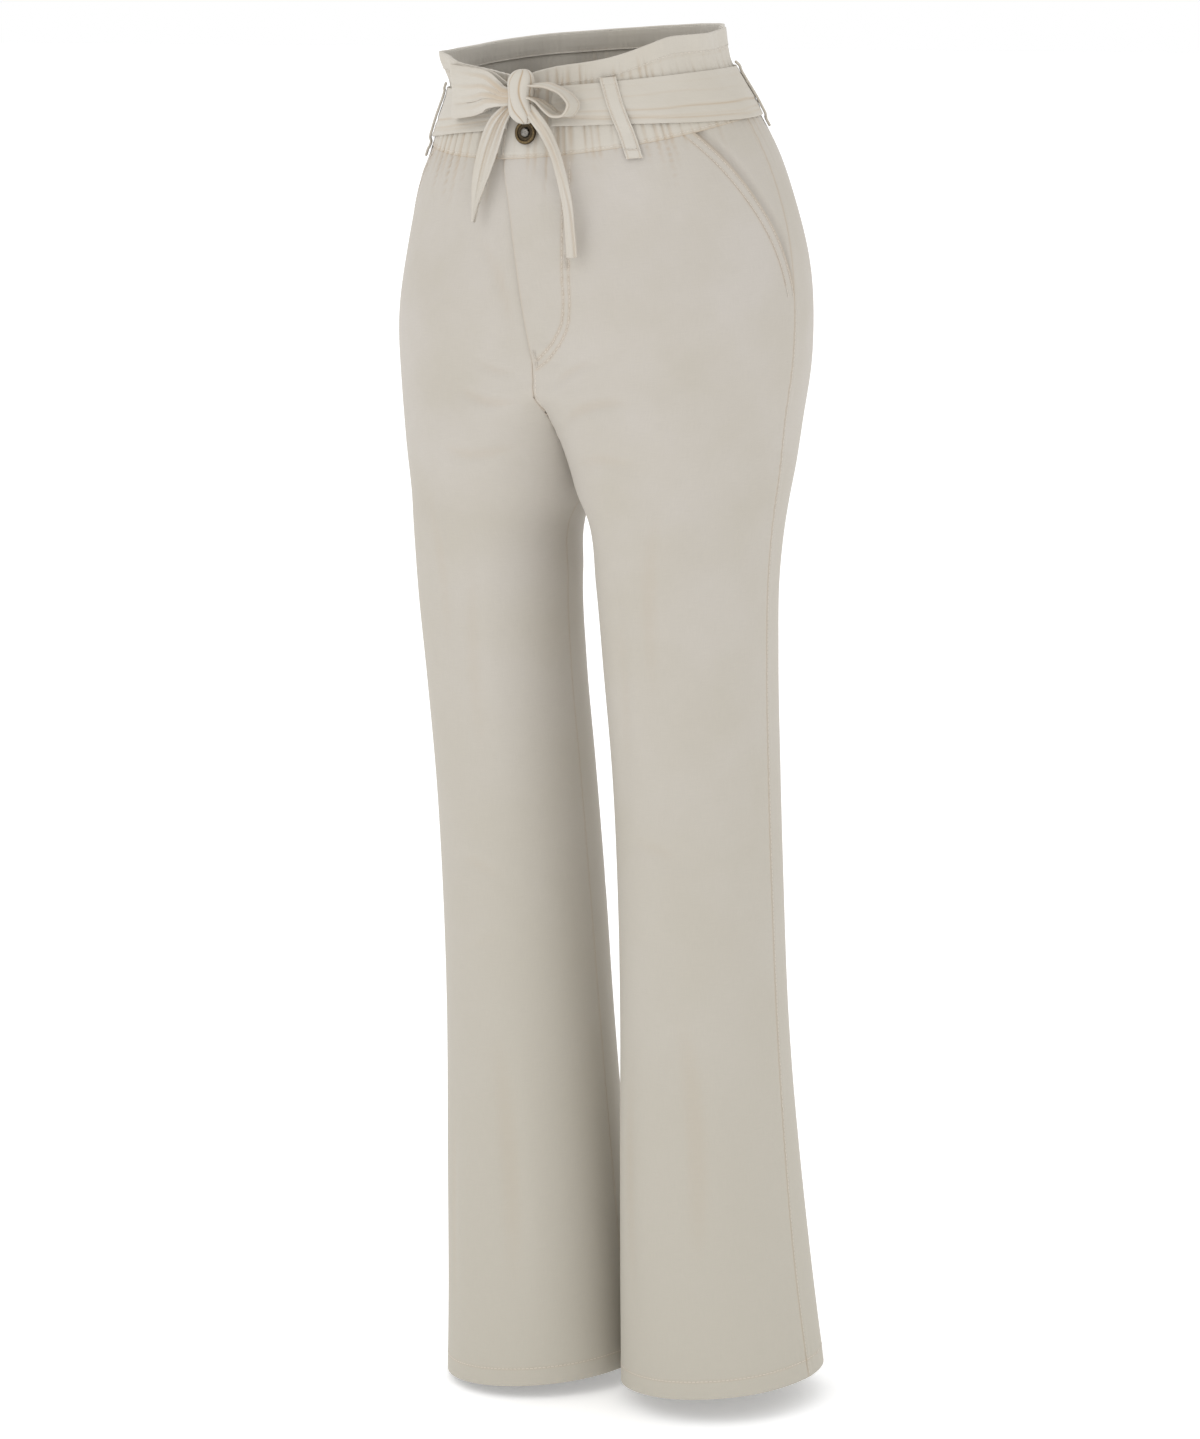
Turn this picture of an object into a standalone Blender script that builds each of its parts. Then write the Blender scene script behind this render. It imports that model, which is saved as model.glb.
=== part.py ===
"""Paperbag waist trousers in cotton twill, filled out as if worn, hollow and open at the waist and hems.

Metres, +Z up. The wearer faces -Y, and +X is the wearer's left. The origin is the centre of the
waist, level with the lower edge of the sash at the front. Every cloth piece is a thin wall on one
shared form, cut where its seams are.
"""

import math

import bpy
import numpy as np

# Driving dimensions
SEAM = 0.0003  # gap between two pieces that are sewn edge to edge
LAP = 0.0006  # gap between two pieces that lie one over the other
TWILL = 0.0015  # wall of one layer of twill
BAND = 0.0022  # wall of the waistband strip, two layers
HEM_WALL = 0.0030  # wall of the turned-up hem, three layers
HEM_DEPTH = 0.019
HEM = -0.986
CROTCH = -0.275
LEGS_START = -0.060  # below here each leg's own oval grows out of the body's
FLY_END = -0.196  # the centre front seam starts to curve under the body here
SEAT_TURN = -0.165  # the centre back seam starts to curve under the body here
HIP_LIFT = 0.06  # rise per metre towards the wearer's left, whose hip is a little higher
LEAN_BEARING = 297.0  # where the frill leans out furthest, over the wearer's right hip
LEAN_SPREAD = 30.0
LEAN_OUT = 0.0095

# The form of the worn trousers: half widths to the side seam, half gap between the legs, how far
# forward (-) or back (+) the side seam and the inseam lie, and the reach in front and behind.
FORM_COLUMNS = ("height", "half_width", "leg_gap", "side_y", "inseam_y", "front", "back")
FORM = np.array(
    (
        (-1.000, 0.1600, 0.0020, 0.000, 0.000, 0.083, 0.086),  # hem
        (-0.900, 0.1515, 0.0060, -0.005, -0.005, 0.079, 0.082),
        (-0.800, 0.1460, 0.0105, -0.009, -0.009, 0.074, 0.077),
        (-0.700, 0.1425, 0.0150, -0.011, -0.011, 0.070, 0.072),
        (-0.600, 0.1415, 0.0185, -0.012, -0.013, 0.070, 0.071),  # knee
        (-0.500, 0.1425, 0.0205, -0.014, -0.019, 0.070, 0.071),
        (-0.420, 0.1450, 0.0205, -0.017, -0.028, 0.071, 0.073),
        (-0.350, 0.1490, 0.0185, -0.018, -0.033, 0.073, 0.076),
        (-0.300, 0.1525, 0.0140, -0.012, -0.032, 0.080, 0.085),  # thigh
        (-0.275, 0.1550, 0.0000, -0.008, -0.024, 0.087, 0.095),  # crotch
        (-0.235, 0.1590, 0.0000, -0.004, -0.012, 0.099, 0.105),
        (-0.190, 0.1645, 0.0000, 0.000, 0.000, 0.107, 0.115),
        (-0.140, 0.1665, 0.0000, 0.002, 0.002, 0.111, 0.120),  # hip
        (-0.090, 0.1610, 0.0000, 0.003, 0.003, 0.111, 0.119),
        (-0.040, 0.1470, 0.0000, 0.002, 0.002, 0.106, 0.112),
        (0.000, 0.1290, 0.0000, -0.002, -0.002, 0.096, 0.100),  # waist
        (0.035, 0.1130, 0.0000, -0.007, -0.007, 0.085, 0.089),
        (0.070, 0.1090, 0.0000, -0.010, -0.010, 0.083, 0.086),  # top of the frill
    )
)

CREAM = (0.60, 0.55, 0.49)
CREAM_LIGHT = (0.64, 0.59, 0.52)
ANTIQUE_BRASS = (0.16, 0.11, 0.06)
WORN_METAL = (0.42, 0.40, 0.36)


# The form


def smoothstep(low, high, value):
    share = np.clip((value - low) / (high - low), 0.0, 1.0)
    return share * share * (3.0 - 2.0 * share)


def form(height):
    """The columns of FORM at a height, on a smooth curve through its rows."""
    rows, values = FORM[:, 0], FORM[:, 1:]
    slopes = np.gradient(values, rows, axis=0)
    low = np.clip(np.searchsorted(rows, height) - 1, 0, len(rows) - 2)
    step = (rows[low + 1] - rows[low])[..., None]
    t = (height - rows[low])[..., None] / step
    ends = values[low] * (1 + 2 * t) * (1 - t) ** 2 + values[low + 1] * t**2 * (3 - 2 * t)
    bends = slopes[low] * t * (1 - t) ** 2 - slopes[low + 1] * t**2 * (1 - t)
    columns = ends + bends * step
    return {name: columns[..., i] for i, name in enumerate(FORM_COLUMNS[1:])}


def leg_share(height):
    """How far each leg's oval has moved off the body's middle: 0 on the body, 1 from the crotch down."""
    down = np.clip((LEGS_START - height) / (LEGS_START - CROTCH), 0.0, 1.0)
    return down * smoothstep(-0.15, 0.35, down)


def rise_reach(height, back):
    """How far out the centre seam is, as a share of the body's depth: 1 on the body, 0 at the crotch."""
    top = SEAT_TURN if back else FLY_END
    up = np.clip((height - CROTCH) / (top - CROTCH), 0.0, 1.0)
    if back:
        return np.sqrt(1.0 - (1.0 - up) ** 2)
    return 1.0 - (1.0 - up**0.8) * smoothstep(-0.05, 0.25, 1.0 - up)


def form_point(height, turn, side, back):
    """A point on the outside of the cloth.

    turn runs from 0 at the side seam to 1 at the centre seam or, below the crotch, the inseam, and
    past 1 it goes on over the other half. side is 1 on the wearer's left and -1 on the right. Each
    half is a quarter oval from the side seam to the front of the leg, then a curve that falls in
    to the centre seam, and the two make one whole oval below the crotch.
    """
    height, turn = np.broadcast_arrays(np.asarray(height, float), np.asarray(turn, float))
    side = np.where(turn > 1.0, -side, side)
    turn = np.where(turn > 1.0, 2.0 - turn, turn)
    at = form(height)
    above = height > CROTCH
    share = np.maximum(leg_share(height), 1e-6)
    gap = np.where(above, 0.0, np.maximum(at["leg_gap"], 0.0))
    centre = np.where(above, at["half_width"] * share / (1 + share), (at["half_width"] + gap) / 2)
    outer = at["half_width"] - centre
    inner = np.where(above, centre, outer)
    angle = turn * (1 + share) * math.pi / 2
    inward = np.sin(np.clip((angle - math.pi / 2) / share, 0.0, math.pi / 2))
    x = np.where(angle < math.pi / 2, centre + outer * np.cos(angle), centre - inner * inward)
    sunk = 1.0 - rise_reach(height, back)
    fall = (1.0 - sunk) * inward**2.5 + sunk * (1.0 - np.sqrt(1.0 - inward**2))
    depth = np.where(angle < math.pi / 2, np.sin(angle), 1.0 - sunk * fall)
    across = np.where(angle < math.pi / 2, np.cos(angle), -inward)
    seam_y = at["side_y"] * (1 + across) / 2 + at["inseam_y"] * (1 - across) / 2
    facing = 1.0 if back else -1.0
    y = seam_y + facing * (at["back" if back else "front"] * depth + SEAM / 2)
    x = side * (x + SEAM / 2)
    return np.stack((x, y, height + HIP_LIFT * x), axis=-1)


def form_normal(height, turn, side, back):
    """The outward direction of the form at a point."""
    step = 0.0005
    first = np.where(turn < 0.5, turn, turn - step)
    up = form_point(height + step, turn, side, back) - form_point(height - step, turn, side, back)
    round_ = form_point(height, first + step, side, back) - form_point(height, first, side, back)
    normal = np.cross(up, round_) * (-side if back else side)
    return normal / np.linalg.norm(normal, axis=-1, keepdims=True)


def turn_at(height, length, side, back):
    """The turns at which the cloth is these lengths away from the side seam, along one height."""
    turns = np.linspace(0.0, 1.0, 201)
    points = form_point(height, turns, side, back)
    run = np.concatenate(((0.0,), np.cumsum(np.linalg.norm(np.diff(points, axis=0), axis=1))))
    return float(np.interp(length, run, turns))


def ring_point(height, bearing, out=0.0):
    """A point on the waist, by its bearing in degrees from the centre front round to the wearer's left."""
    height, bearing, out = np.broadcast_arrays(height, np.radians(bearing), out)
    at = form(np.asarray(height, float))
    ahead = np.cos(bearing)
    reach = np.where(ahead > 0, at["front"], at["back"])
    normal = np.stack((np.sin(bearing) * reach, -ahead * at["half_width"]), axis=-1)
    normal /= np.linalg.norm(normal, axis=-1, keepdims=True)
    x = at["half_width"] * np.sin(bearing) + out * normal[..., 0]
    y = at["side_y"] - reach * ahead + out * normal[..., 1]
    return np.stack((x, y, height + HIP_LIFT * x), axis=-1)


def waist_seam(bearing):
    """Height of the seam under the waistband: it dips at the front and rises a little behind."""
    ahead = np.cos(np.radians(bearing))
    return np.where(ahead > 0, -0.0065 - 0.0155 * np.abs(ahead) ** 1.5, -0.0065 + 0.008 * np.abs(ahead))


def frill_top(bearing):
    """Height of the frill's folded edge, drawn down in a V above the knot."""
    ahead = np.cos(np.radians(bearing))
    off_knot = (np.mod(bearing + 186.0, 360.0) - 180.0) / 12.0
    front_dip = 0.0150 * smoothstep(0.45, 1.0, ahead) + 0.0060 * np.exp(-(off_knot**2))
    return 0.0605 - 0.0020 * (1 - ahead) / 2 - front_dip


def frill_wave(height, bearing):
    """How far the gathers push the strip in and out above the sash, and how far it leans out."""
    angle = np.radians(bearing)
    wave = np.sin(15 * angle + 0.9 * np.sin(2 * angle + 1.0)) + 0.45 * np.sin(8 * angle + 2.2)
    off_lean = (np.mod(bearing - LEAN_BEARING + 180.0, 360.0) - 180.0) / LEAN_SPREAD
    lean = LEAN_OUT * np.exp(-(off_lean**2)) * smoothstep(0.041, 0.062, height)
    return 0.0013 * wave * smoothstep(0.032, 0.055, height) + lean


# Meshes


def finish(name, mesh, colour, roughness, metallic=0.0):
    material = bpy.data.materials.new(name)
    material.use_nodes = True
    shader = material.node_tree.nodes["Principled BSDF"]
    shader.inputs["Base Color"].default_value = (*colour, 1.0)
    shader.inputs["Roughness"].default_value = roughness
    shader.inputs["Metallic"].default_value = metallic
    mesh.materials.append(material)
    mesh.shade_smooth()
    mesh.set_sharp_from_angle(angle=math.radians(40))
    piece = bpy.data.objects.new(name, mesh)
    bpy.context.scene.collection.objects.link(piece)
    return piece


def grid_faces(rows, columns, first, flip=False, wrap=False):
    """Quads of a grid of points numbered row by row from first."""
    faces = []
    for i in range(rows - 1):
        for j in range(columns if wrap else columns - 1):
            k = (j + 1) % columns
            quad = (i * columns + j, i * columns + k, (i + 1) * columns + k, (i + 1) * columns + j)
            faces.append([first + n for n in (quad[::-1] if flip else quad)])
    return faces


def signed_volume(points, faces):
    total = 0.0
    for face in faces:
        for b, c in zip(face[1:-1], face[2:]):
            total += np.dot(points[face[0]], np.cross(points[b], points[c]))
    return total


def closed_mesh(name, points, faces):
    """A mesh whose faces point out, whichever way its grid was wound."""
    if signed_volume(points, faces) < 0:
        faces = [face[::-1] for face in faces]
    mesh = bpy.data.meshes.new(name)
    mesh.from_pydata([tuple(p) for p in points], [], faces)
    return mesh


def wall(name, outer, inner, colour=CREAM, roughness=0.9):
    """A cloth wall between two grids of the same shape, closed along its four edges."""
    rows, columns = outer.shape[:2]
    half = rows * columns
    points = np.concatenate((outer.reshape(-1, 3), inner.reshape(-1, 3)))
    faces = grid_faces(rows, columns, 0) + grid_faces(rows, columns, half, flip=True)
    last = (rows - 1) * columns
    for j in range(columns - 1):
        faces.append([j + 1, j, half + j, half + j + 1])
        faces.append([last + j, last + j + 1, half + last + j + 1, half + last + j])
    for i in range(rows - 1):
        near, far = i * columns, i * columns + columns - 1
        faces.append([near, near + columns, half + near + columns, half + near])
        faces.append([far + columns, far, half + far, half + far + columns])
    return finish(name, closed_mesh(name, points, faces), colour, roughness)


def tube(name, rings, colour=CREAM_LIGHT, roughness=0.9, metallic=0.0):
    """A closed body through a stack of rings, with a flat cap at each end."""
    count, around = rings.shape[:2]
    faces = grid_faces(count, around, 0, wrap=True)
    faces.append(list(range(around))[::-1])
    faces.append([(count - 1) * around + j for j in range(around)])
    return finish(name, closed_mesh(name, rings.reshape(-1, 3), faces), colour, roughness, metallic)


# Leg panels, each from the waist seam to the hem

LEG_HEIGHTS = (-0.920, -0.840, -0.760, -0.680, -0.600, -0.520, -0.450, -0.395, -0.350, -0.318, -0.295)
CROTCH_HEIGHTS = (-0.275, -0.262, -0.246, -0.230, -0.214, -0.199)
HIP_HEIGHTS = (-0.184, -0.168, -0.148, -0.124, -0.098, -0.070)
RISE_HEIGHTS = CROTCH_HEIGHTS + HIP_HEIGHTS
TOP_SHARES = (0.35, 0.70, 1.0)  # the rows above RISE_HEIGHTS, as shares of the way up to the seam
PANEL_COLUMNS = 11
POCKET_COLUMNS = 6
FLY_LAP = 0.021  # how far the left front laps over the right at the waist seam
FLY_LAP_END = -0.168
FLY_LIFT = 0.0025  # how far the lapped edge stands off the form
SLANT_TOP = 0.056  # length from the side seam to the pocket's slant edge, at the waist seam
SLANT_END = -0.146
POCKET_UNDER = 0.012  # how far the pocket side runs on under the front
POCKET_SINK = 0.0031  # how deep it lies there


def seam_bearing(turn, back):
    return 90.0 + 90.0 * turn if back else 90.0 - 90.0 * turn


def panel_grid(low_turn, high_turn, back, heights, columns=PANEL_COLUMNS):
    """Heights and turns of a panel between two edges, each given as a turn for a height."""
    rows = [(np.full(columns, h), np.linspace(low_turn(h), high_turn(h), columns)) for h in heights]
    for share in TOP_SHARES:
        ends = []
        for edge in (low_turn, high_turn):
            height = heights[-1]
            for _ in range(4):
                seam = waist_seam(seam_bearing(edge(height), back)) - SEAM
                height = heights[-1] + (seam - heights[-1]) * share
            ends.append(edge(height))
        turn = np.linspace(*ends, columns)
        seam = waist_seam(seam_bearing(turn, back)) - SEAM
        rows.append((heights[-1] + (seam - heights[-1]) * share, turn))
    return np.array([row[0] for row in rows]), np.array([row[1] for row in rows])


def panel_normal(height, turn, side, back):
    """The form's normal, turned level near the waist seam so that the pieces meet edge to edge."""
    normal = form_normal(height, turn, side, back)
    normal[..., 2] *= smoothstep(-0.025, -0.070, height)
    return normal / np.linalg.norm(normal, axis=-1, keepdims=True)


def panel_heights():
    """Fixed heights of a leg panel's rows from the hem up."""
    fold = HEM + HEM_DEPTH
    return np.array((HEM, fold, fold + 0.0015) + LEG_HEIGHTS + RISE_HEIGHTS)


def panel_wall(height):
    return np.where(height < HEM + HEM_DEPTH + 0.001, HEM_WALL, TWILL)


def slant_length(height):
    """Length along the cloth from the side seam to the slant pocket's edge."""
    share = np.clip((height - SLANT_END) / (waist_seam(55.0) - SLANT_END), 0.0, 1.0)
    return SLANT_TOP * share**1.4


def fly_lap(height):
    """How far the left front reaches past the centre front."""
    return FLY_LAP * np.clip((height - FLY_LAP_END) / (waist_seam(0.0) - FLY_LAP_END), 0.0, 1.0)


def make_back(name, side):
    height, turn = panel_grid(lambda h: 0.0, lambda h: 1.0, True, panel_heights())
    outer = form_point(height, turn, side, True)
    normal = panel_normal(height, turn, side, True)
    wall(name, outer, outer - normal * panel_wall(height)[..., None])


def make_front(name, side):
    def slant_turn(height):
        return turn_at(height, slant_length(height), side, False)

    def centre_turn(height):
        if side < 0 or height < FLY_LAP_END:
            return 1.0
        turns = np.linspace(0.6, 1.3, 141)
        across = form_point(height, turns, side, False)[:, 0]
        return float(np.interp(float(fly_lap(height)), -across, turns))

    height, turn = panel_grid(slant_turn, centre_turn, False, panel_heights())
    outer = form_point(height, turn, side, False)
    normal = panel_normal(height, turn, side, False)
    lift = np.zeros(height.shape + (1,))
    if side > 0:
        lapped = smoothstep(0.032, 0.010, outer[..., 0]) * (height > FLY_LAP_END - 0.001)
        lift = FLY_LIFT * lapped[..., None]
    wall(name, outer + normal * lift, outer + normal * (lift - panel_wall(height)[..., None]))


def make_pocket_side(name, side):
    """The hip piece that fills the corner behind the slant edge and runs on under the front."""
    ramp_from, ramp_to = 0.011, 0.003

    def under_turn(height):
        return turn_at(height, slant_length(height) + POCKET_UNDER, side, False)

    heights = np.array([h for h in RISE_HEIGHTS if h > SLANT_END - 0.005])
    height, turn = panel_grid(lambda h: 0.0, under_turn, False, heights, POCKET_COLUMNS)
    outer = form_point(height, turn, side, False)
    normal = panel_normal(height, turn, side, False)
    run = np.linalg.norm(np.diff(outer, axis=1), axis=2).cumsum(axis=1)
    run = np.hstack((np.zeros((len(run), 1)), run))
    edge = slant_length(height)
    depth = POCKET_SINK * smoothstep(edge - ramp_from, edge - ramp_to, run)[..., None]
    wall(name, outer - normal * depth, outer - normal * (depth + TWILL))


# Waistband strip with the frill, its turned-in hem, belt loops

BAND_COLUMNS = 81
BAND_START = -10.0  # bearing of the left end, which laps over the right end
BAND_LAP_CLEAR = 6.0
BAND_END = 359.9
FRILL_HEM_DEPTH = 0.016


def make_waistband():
    bearing = np.linspace(BAND_START, BAND_END, BAND_COLUMNS)
    low, top = waist_seam(bearing), frill_top(bearing)
    shares = (0.0, 0.60, 0.75, 1.0)
    height = np.array([low + (top - low) * share for share in shares])
    bearing = np.broadcast_to(bearing, height.shape)
    lift = (BAND + LAP) * smoothstep(BAND_LAP_CLEAR, 1.0, bearing)
    out = frill_wave(height, bearing) + lift
    wall("waistband", ring_point(height, bearing, out), ring_point(height, bearing, out - BAND))


def make_frill_hem():
    bearing = np.linspace(4.0, 356.0, BAND_COLUMNS)
    top = frill_top(bearing) - 0.0008
    height = np.array([top - FRILL_HEM_DEPTH, top])
    bearing = np.broadcast_to(bearing, height.shape)
    face = frill_wave(height, bearing) - BAND - 1.5 * LAP - (BAND + LAP) * smoothstep(12.0, 6.0, bearing)
    wall("frill_hem", ring_point(height, bearing, face), ring_point(height, bearing, face - TWILL))


SASH_WALL = 0.0024
SASH_COLUMNS = 65
LOOP_WIDTH = 0.013
LOOP_WALL = 0.0016
LOOP_CROWN = 0.0004  # how far the middle of the strip stands above its edges
LOOP_SHAPE = (  # which edge the row is measured from, distance up from it, distance off the strip
    ("end", 0.0000, 0.0008),
    ("sash_low", -0.0040, 0.0008),
    ("sash_low", -0.0008, 0.0036),
    ("sash_low", 0.0070, 0.0044),
    ("sash_top", -0.0070, 0.0044),
    ("sash_top", 0.0008, 0.0036),
    ("sash_top", 0.0035, 0.0010),
)
LOOP_BEARINGS = (  # name, bearing at the top, bearing at the bottom
    ("belt_loop_front_left", 30.5, 35.0),
    ("belt_loop_side_left", 113.0, 113.5),
    ("belt_loop_back", 179.3, 180.4),
    ("belt_loop_side_right", 243.0, 242.5),
    ("belt_loop_front_right", 295.0, 293.5),
)
LOOP_BELOW_EDGE = 0.009  # how far it runs on below the waist seam or the sash, whichever is lower


# Sash: the stretch round the waist, the knot, two bow loops and two tails

SASH_FROM = 8.5  # bearing where the sash leaves the knot on the wearer's left
SASH_TO = 351.5
SASH_LOW_FRONT = 0.0005
SASH_LOW_SIDE = -0.0060
SASH_TOP_FRONT = 0.0300
SASH_TOP_SIDE = 0.0325


def sash_edges(bearing):
    aside = 1.0 - np.abs(np.cos(np.radians(bearing))) ** 2 * (np.cos(np.radians(bearing)) > 0)
    low = SASH_LOW_FRONT + (SASH_LOW_SIDE - SASH_LOW_FRONT) * aside
    top = SASH_TOP_FRONT + (SASH_TOP_SIDE - SASH_TOP_FRONT) * aside
    return low, top


def make_sash():
    bearing = np.linspace(SASH_FROM, SASH_TO, SASH_COLUMNS)
    low, top = sash_edges(bearing)
    height = np.array([low, (low + top) / 2, top])
    crown = np.array((0.0, 0.0007, 0.0))[:, None]
    bearing = np.broadcast_to(bearing, height.shape)
    lapped = smoothstep(BAND_LAP_CLEAR + 4.0, 5.0, bearing) + smoothstep(341.0, 346.0, bearing)
    lift = LAP + (BAND + LAP) * lapped
    inner = ring_point(height, bearing, lift)
    outer = ring_point(height, bearing, lift + crown + SASH_WALL - 0.0007)
    wall("sash", outer, inner, colour=CREAM_LIGHT)


def make_belt_loop(name, top_bearing, bottom_bearing):
    """A narrow strip, sewn down below the waist seam and above the sash, that stands off over it."""
    sash_low, sash_top = sash_edges((top_bearing + bottom_bearing) / 2)
    end = min(waist_seam(bottom_bearing), sash_low) - LOOP_BELOW_EDGE
    marks = {"end": end, "sash_low": sash_low, "sash_top": sash_top}
    height = np.array([[marks[mark] + rise] for mark, rise, _ in LOOP_SHAPE])
    stand = np.array([[row[2]] for row in LOOP_SHAPE])
    share = (height - height[0]) / (height[-1] - height[0])
    bearing = bottom_bearing + (top_bearing - bottom_bearing) * share
    along = ring_point(height, bearing + 1.0, stand) - ring_point(height, bearing - 1.0, stand)
    along /= np.linalg.norm(along, axis=-1, keepdims=True)
    out = np.cross(along, (0.0, 0.0, 1.0))
    out /= np.linalg.norm(out, axis=-1, keepdims=True)
    across = np.array((-0.5, 0.0, 0.5))[None, :, None] * LOOP_WIDTH
    crown = np.array((0.0, 1.0, 0.0))[None, :, None] * LOOP_CROWN
    inner = ring_point(height, bearing, stand) + along * across + out * crown
    wall(name, inner + out * LOOP_WALL, inner, colour=CREAM_LIGHT)


KNOT_CENTRE = (0.0000, -0.1095, 0.0245)
KNOT_HALF = (0.0105, 0.0088, 0.0205)


def make_knot():
    """A rounded wrap, narrower at its middle, with three soft vertical ridges."""
    rings = []
    for lift in np.linspace(-1.0, 1.0, 9):
        angle = np.linspace(0.0, 2 * math.pi, 18, endpoint=False)
        size = (1.0 - abs(lift) ** 3.2) ** (1 / 2.4) if abs(lift) < 1 else 0.30
        waist = 1.0 - 0.10 * math.cos(math.pi * lift)
        ridge = 1.0 + 0.05 * np.cos(6 * angle + 1.2 * lift)
        x = KNOT_CENTRE[0] + KNOT_HALF[0] * max(size, 0.30) * waist * ridge * np.cos(angle)
        y = KNOT_CENTRE[1] + KNOT_HALF[1] * max(size, 0.30) * ridge * np.sin(angle)
        z = np.full_like(x, KNOT_CENTRE[2] + KNOT_HALF[2] * lift)
        rings.append(np.stack((x, y, z), axis=-1))
    tube("sash_knot", np.array(rings))


def curve_through(points, count):
    """A smooth curve through a few points, read at even shares of its length."""
    points = np.array(points, float)
    run = np.concatenate(((0.0,), np.cumsum(np.linalg.norm(np.diff(points[:, :3], axis=0), axis=1))))
    slopes = np.gradient(points, run, axis=0)
    at = np.linspace(0.0, run[-1], count)
    low = np.clip(np.searchsorted(run, at) - 1, 0, len(run) - 2)
    step = (run[low + 1] - run[low])[:, None]
    t = (at - run[low])[:, None] / step
    ends = points[low] * (1 + 2 * t) * (1 - t) ** 2 + points[low + 1] * t**2 * (3 - 2 * t)
    return ends + (slopes[low] * t * (1 - t) ** 2 - slopes[low + 1] * t**2 * (1 - t)) * step


RIBBON_WALL = 0.0016


def make_ribbon(name, route, count):
    """A folded ribbon along a route whose rows give x, y, z, width and lean.

    lean is the turn of the ribbon's width about its route, in degrees, from upright or, on a
    route that runs down, from level. Where a route turns back on itself, the width keeps
    the way it had, so that the ribbon bends round with no twist.
    """
    path = curve_through(route, count)
    ahead = np.gradient(path[:, :3], axis=0)
    ahead /= np.linalg.norm(ahead, axis=1, keepdims=True)
    lean = np.radians(path[:, 4])[:, None]
    out = np.array((0.0, -1.0, 0.0)) - ahead * (-ahead[:, 1:2])
    out /= np.linalg.norm(out, axis=1, keepdims=True)
    level = np.cross(ahead, out)
    wide = level * np.cos(lean) + out * np.sin(lean)
    wide[1:] *= np.cumprod(np.sign((wide[1:] * wide[:-1]).sum(axis=1)))[:, None]
    face = np.cross(wide, ahead)
    share = np.array((-0.5, 0.0, 0.5))[None, :, None]
    grid = path[:, None, :3] + wide[:, None, :] * share * path[:, 3][:, None, None]
    half = face[:, None, :] * RIBBON_WALL / 2
    wall(name, grid + half, grid - half, colour=CREAM_LIGHT)


BOW_RIGHT_ROUTE = (  # x, y, z, width, lean: out behind, round the end and back in front
    (-0.0150, -0.1010, 0.0250, 0.0150, 0),
    (-0.0220, -0.1005, 0.0262, 0.0200, 0),
    (-0.0340, -0.0985, 0.0282, 0.0290, 0),
    (-0.0480, -0.0945, 0.0272, 0.0350, 0),
    (-0.0620, -0.0885, 0.0262, 0.0390, 0),
    (-0.0715, -0.0840, 0.0260, 0.0410, 0),
    (-0.0752, -0.0850, 0.0260, 0.0410, 0),
    (-0.0720, -0.0895, 0.0260, 0.0410, 0),
    (-0.0610, -0.0960, 0.0263, 0.0390, 0),
    (-0.0470, -0.1030, 0.0272, 0.0360, 0),
    (-0.0320, -0.1080, 0.0286, 0.0290, 0),
    (-0.0210, -0.1110, 0.0265, 0.0200, 0),
    (-0.0150, -0.1120, 0.0250, 0.0150, 0),
)
BOW_LEFT_ROUTE = (  # out along the top, round the end and back below, seen into from the front
    (0.0145, -0.1095, 0.0335, 0.0130, 90),
    (0.0200, -0.1100, 0.0338, 0.0150, 90),
    (0.0295, -0.1095, 0.0312, 0.0170, 90),
    (0.0382, -0.1080, 0.0258, 0.0180, 90),
    (0.0425, -0.1065, 0.0188, 0.0180, 90),
    (0.0375, -0.1070, 0.0108, 0.0170, 90),
    (0.0290, -0.1085, 0.0108, 0.0160, 90),
    (0.0215, -0.1100, 0.0165, 0.0140, 90),
    (0.0150, -0.1105, 0.0215, 0.0110, 90),
)
TAIL_RIGHT_ROUTE = (  # x, y, z, width, lean
    (-0.0160, -0.1070, 0.0125, 0.0100, 10),
    (-0.0225, -0.1070, 0.0045, 0.0140, 8),
    (-0.0290, -0.1080, -0.0100, 0.0160, 6),
    (-0.0345, -0.1090, -0.0260, 0.0155, 4),
    (-0.0395, -0.1100, -0.0430, 0.0115, 2),
    (-0.0430, -0.1105, -0.0570, 0.0060, 0),
    (-0.0452, -0.1110, -0.0700, 0.0025, 0),
)
TAIL_LEFT_ROUTE = (
    (0.0150, -0.1140, 0.0080, 0.0100, 15),
    (0.0200, -0.1125, 0.0005, 0.0095, 30),
    (0.0276, -0.1125, -0.0131, 0.0085, 40),
    (0.0347, -0.1140, -0.0329, 0.0080, 35),
    (0.0397, -0.1150, -0.0550, 0.0080, 15),
    (0.0421, -0.1160, -0.0771, 0.0085, 0),
    (0.0428, -0.1165, -0.0942, 0.0085, 5),
)


# Jeans button on the lapped end of the waistband

BUTTON_CENTRE = (-0.0012, -0.0030)  # x, height
BUTTON_RADIUS = 0.0090
RING_PROFILE = (  # share of the button's radius, distance out from the cloth
    (0.44, 0.0),
    (0.91, 0.0),
    (1.00, 0.0012),
    (0.98, 0.0026),
    (0.87, 0.0034),
    (0.73, 0.0030),
    (0.68, 0.0022),
    (0.58, 0.0020),
    (0.44, 0.0020),
)
DOME_PROFILE = (
    (0.41, 0.0006),
    (0.41, 0.0024),
    (0.36, 0.0031),
    (0.22, 0.0036),
    (0.09, 0.0038),
)


def button_frame():
    """Centre of the button's seat on the lapped waistband, and its outward, up and side directions."""
    x, height = BUTTON_CENTRE
    bearing = math.degrees(math.asin(x / float(form(np.array(height))["half_width"])))
    lapped = BAND + LAP
    aside = ring_point(height, bearing + 1.0, lapped) - ring_point(height, bearing - 1.0, lapped)
    up = ring_point(height + 0.002, bearing, lapped) - ring_point(height - 0.002, bearing, lapped)
    out = np.cross(aside, up)
    out /= np.linalg.norm(out)
    aside /= np.linalg.norm(aside)
    return ring_point(height, bearing, lapped) + out * LAP, out, np.cross(out, aside), aside


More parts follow.
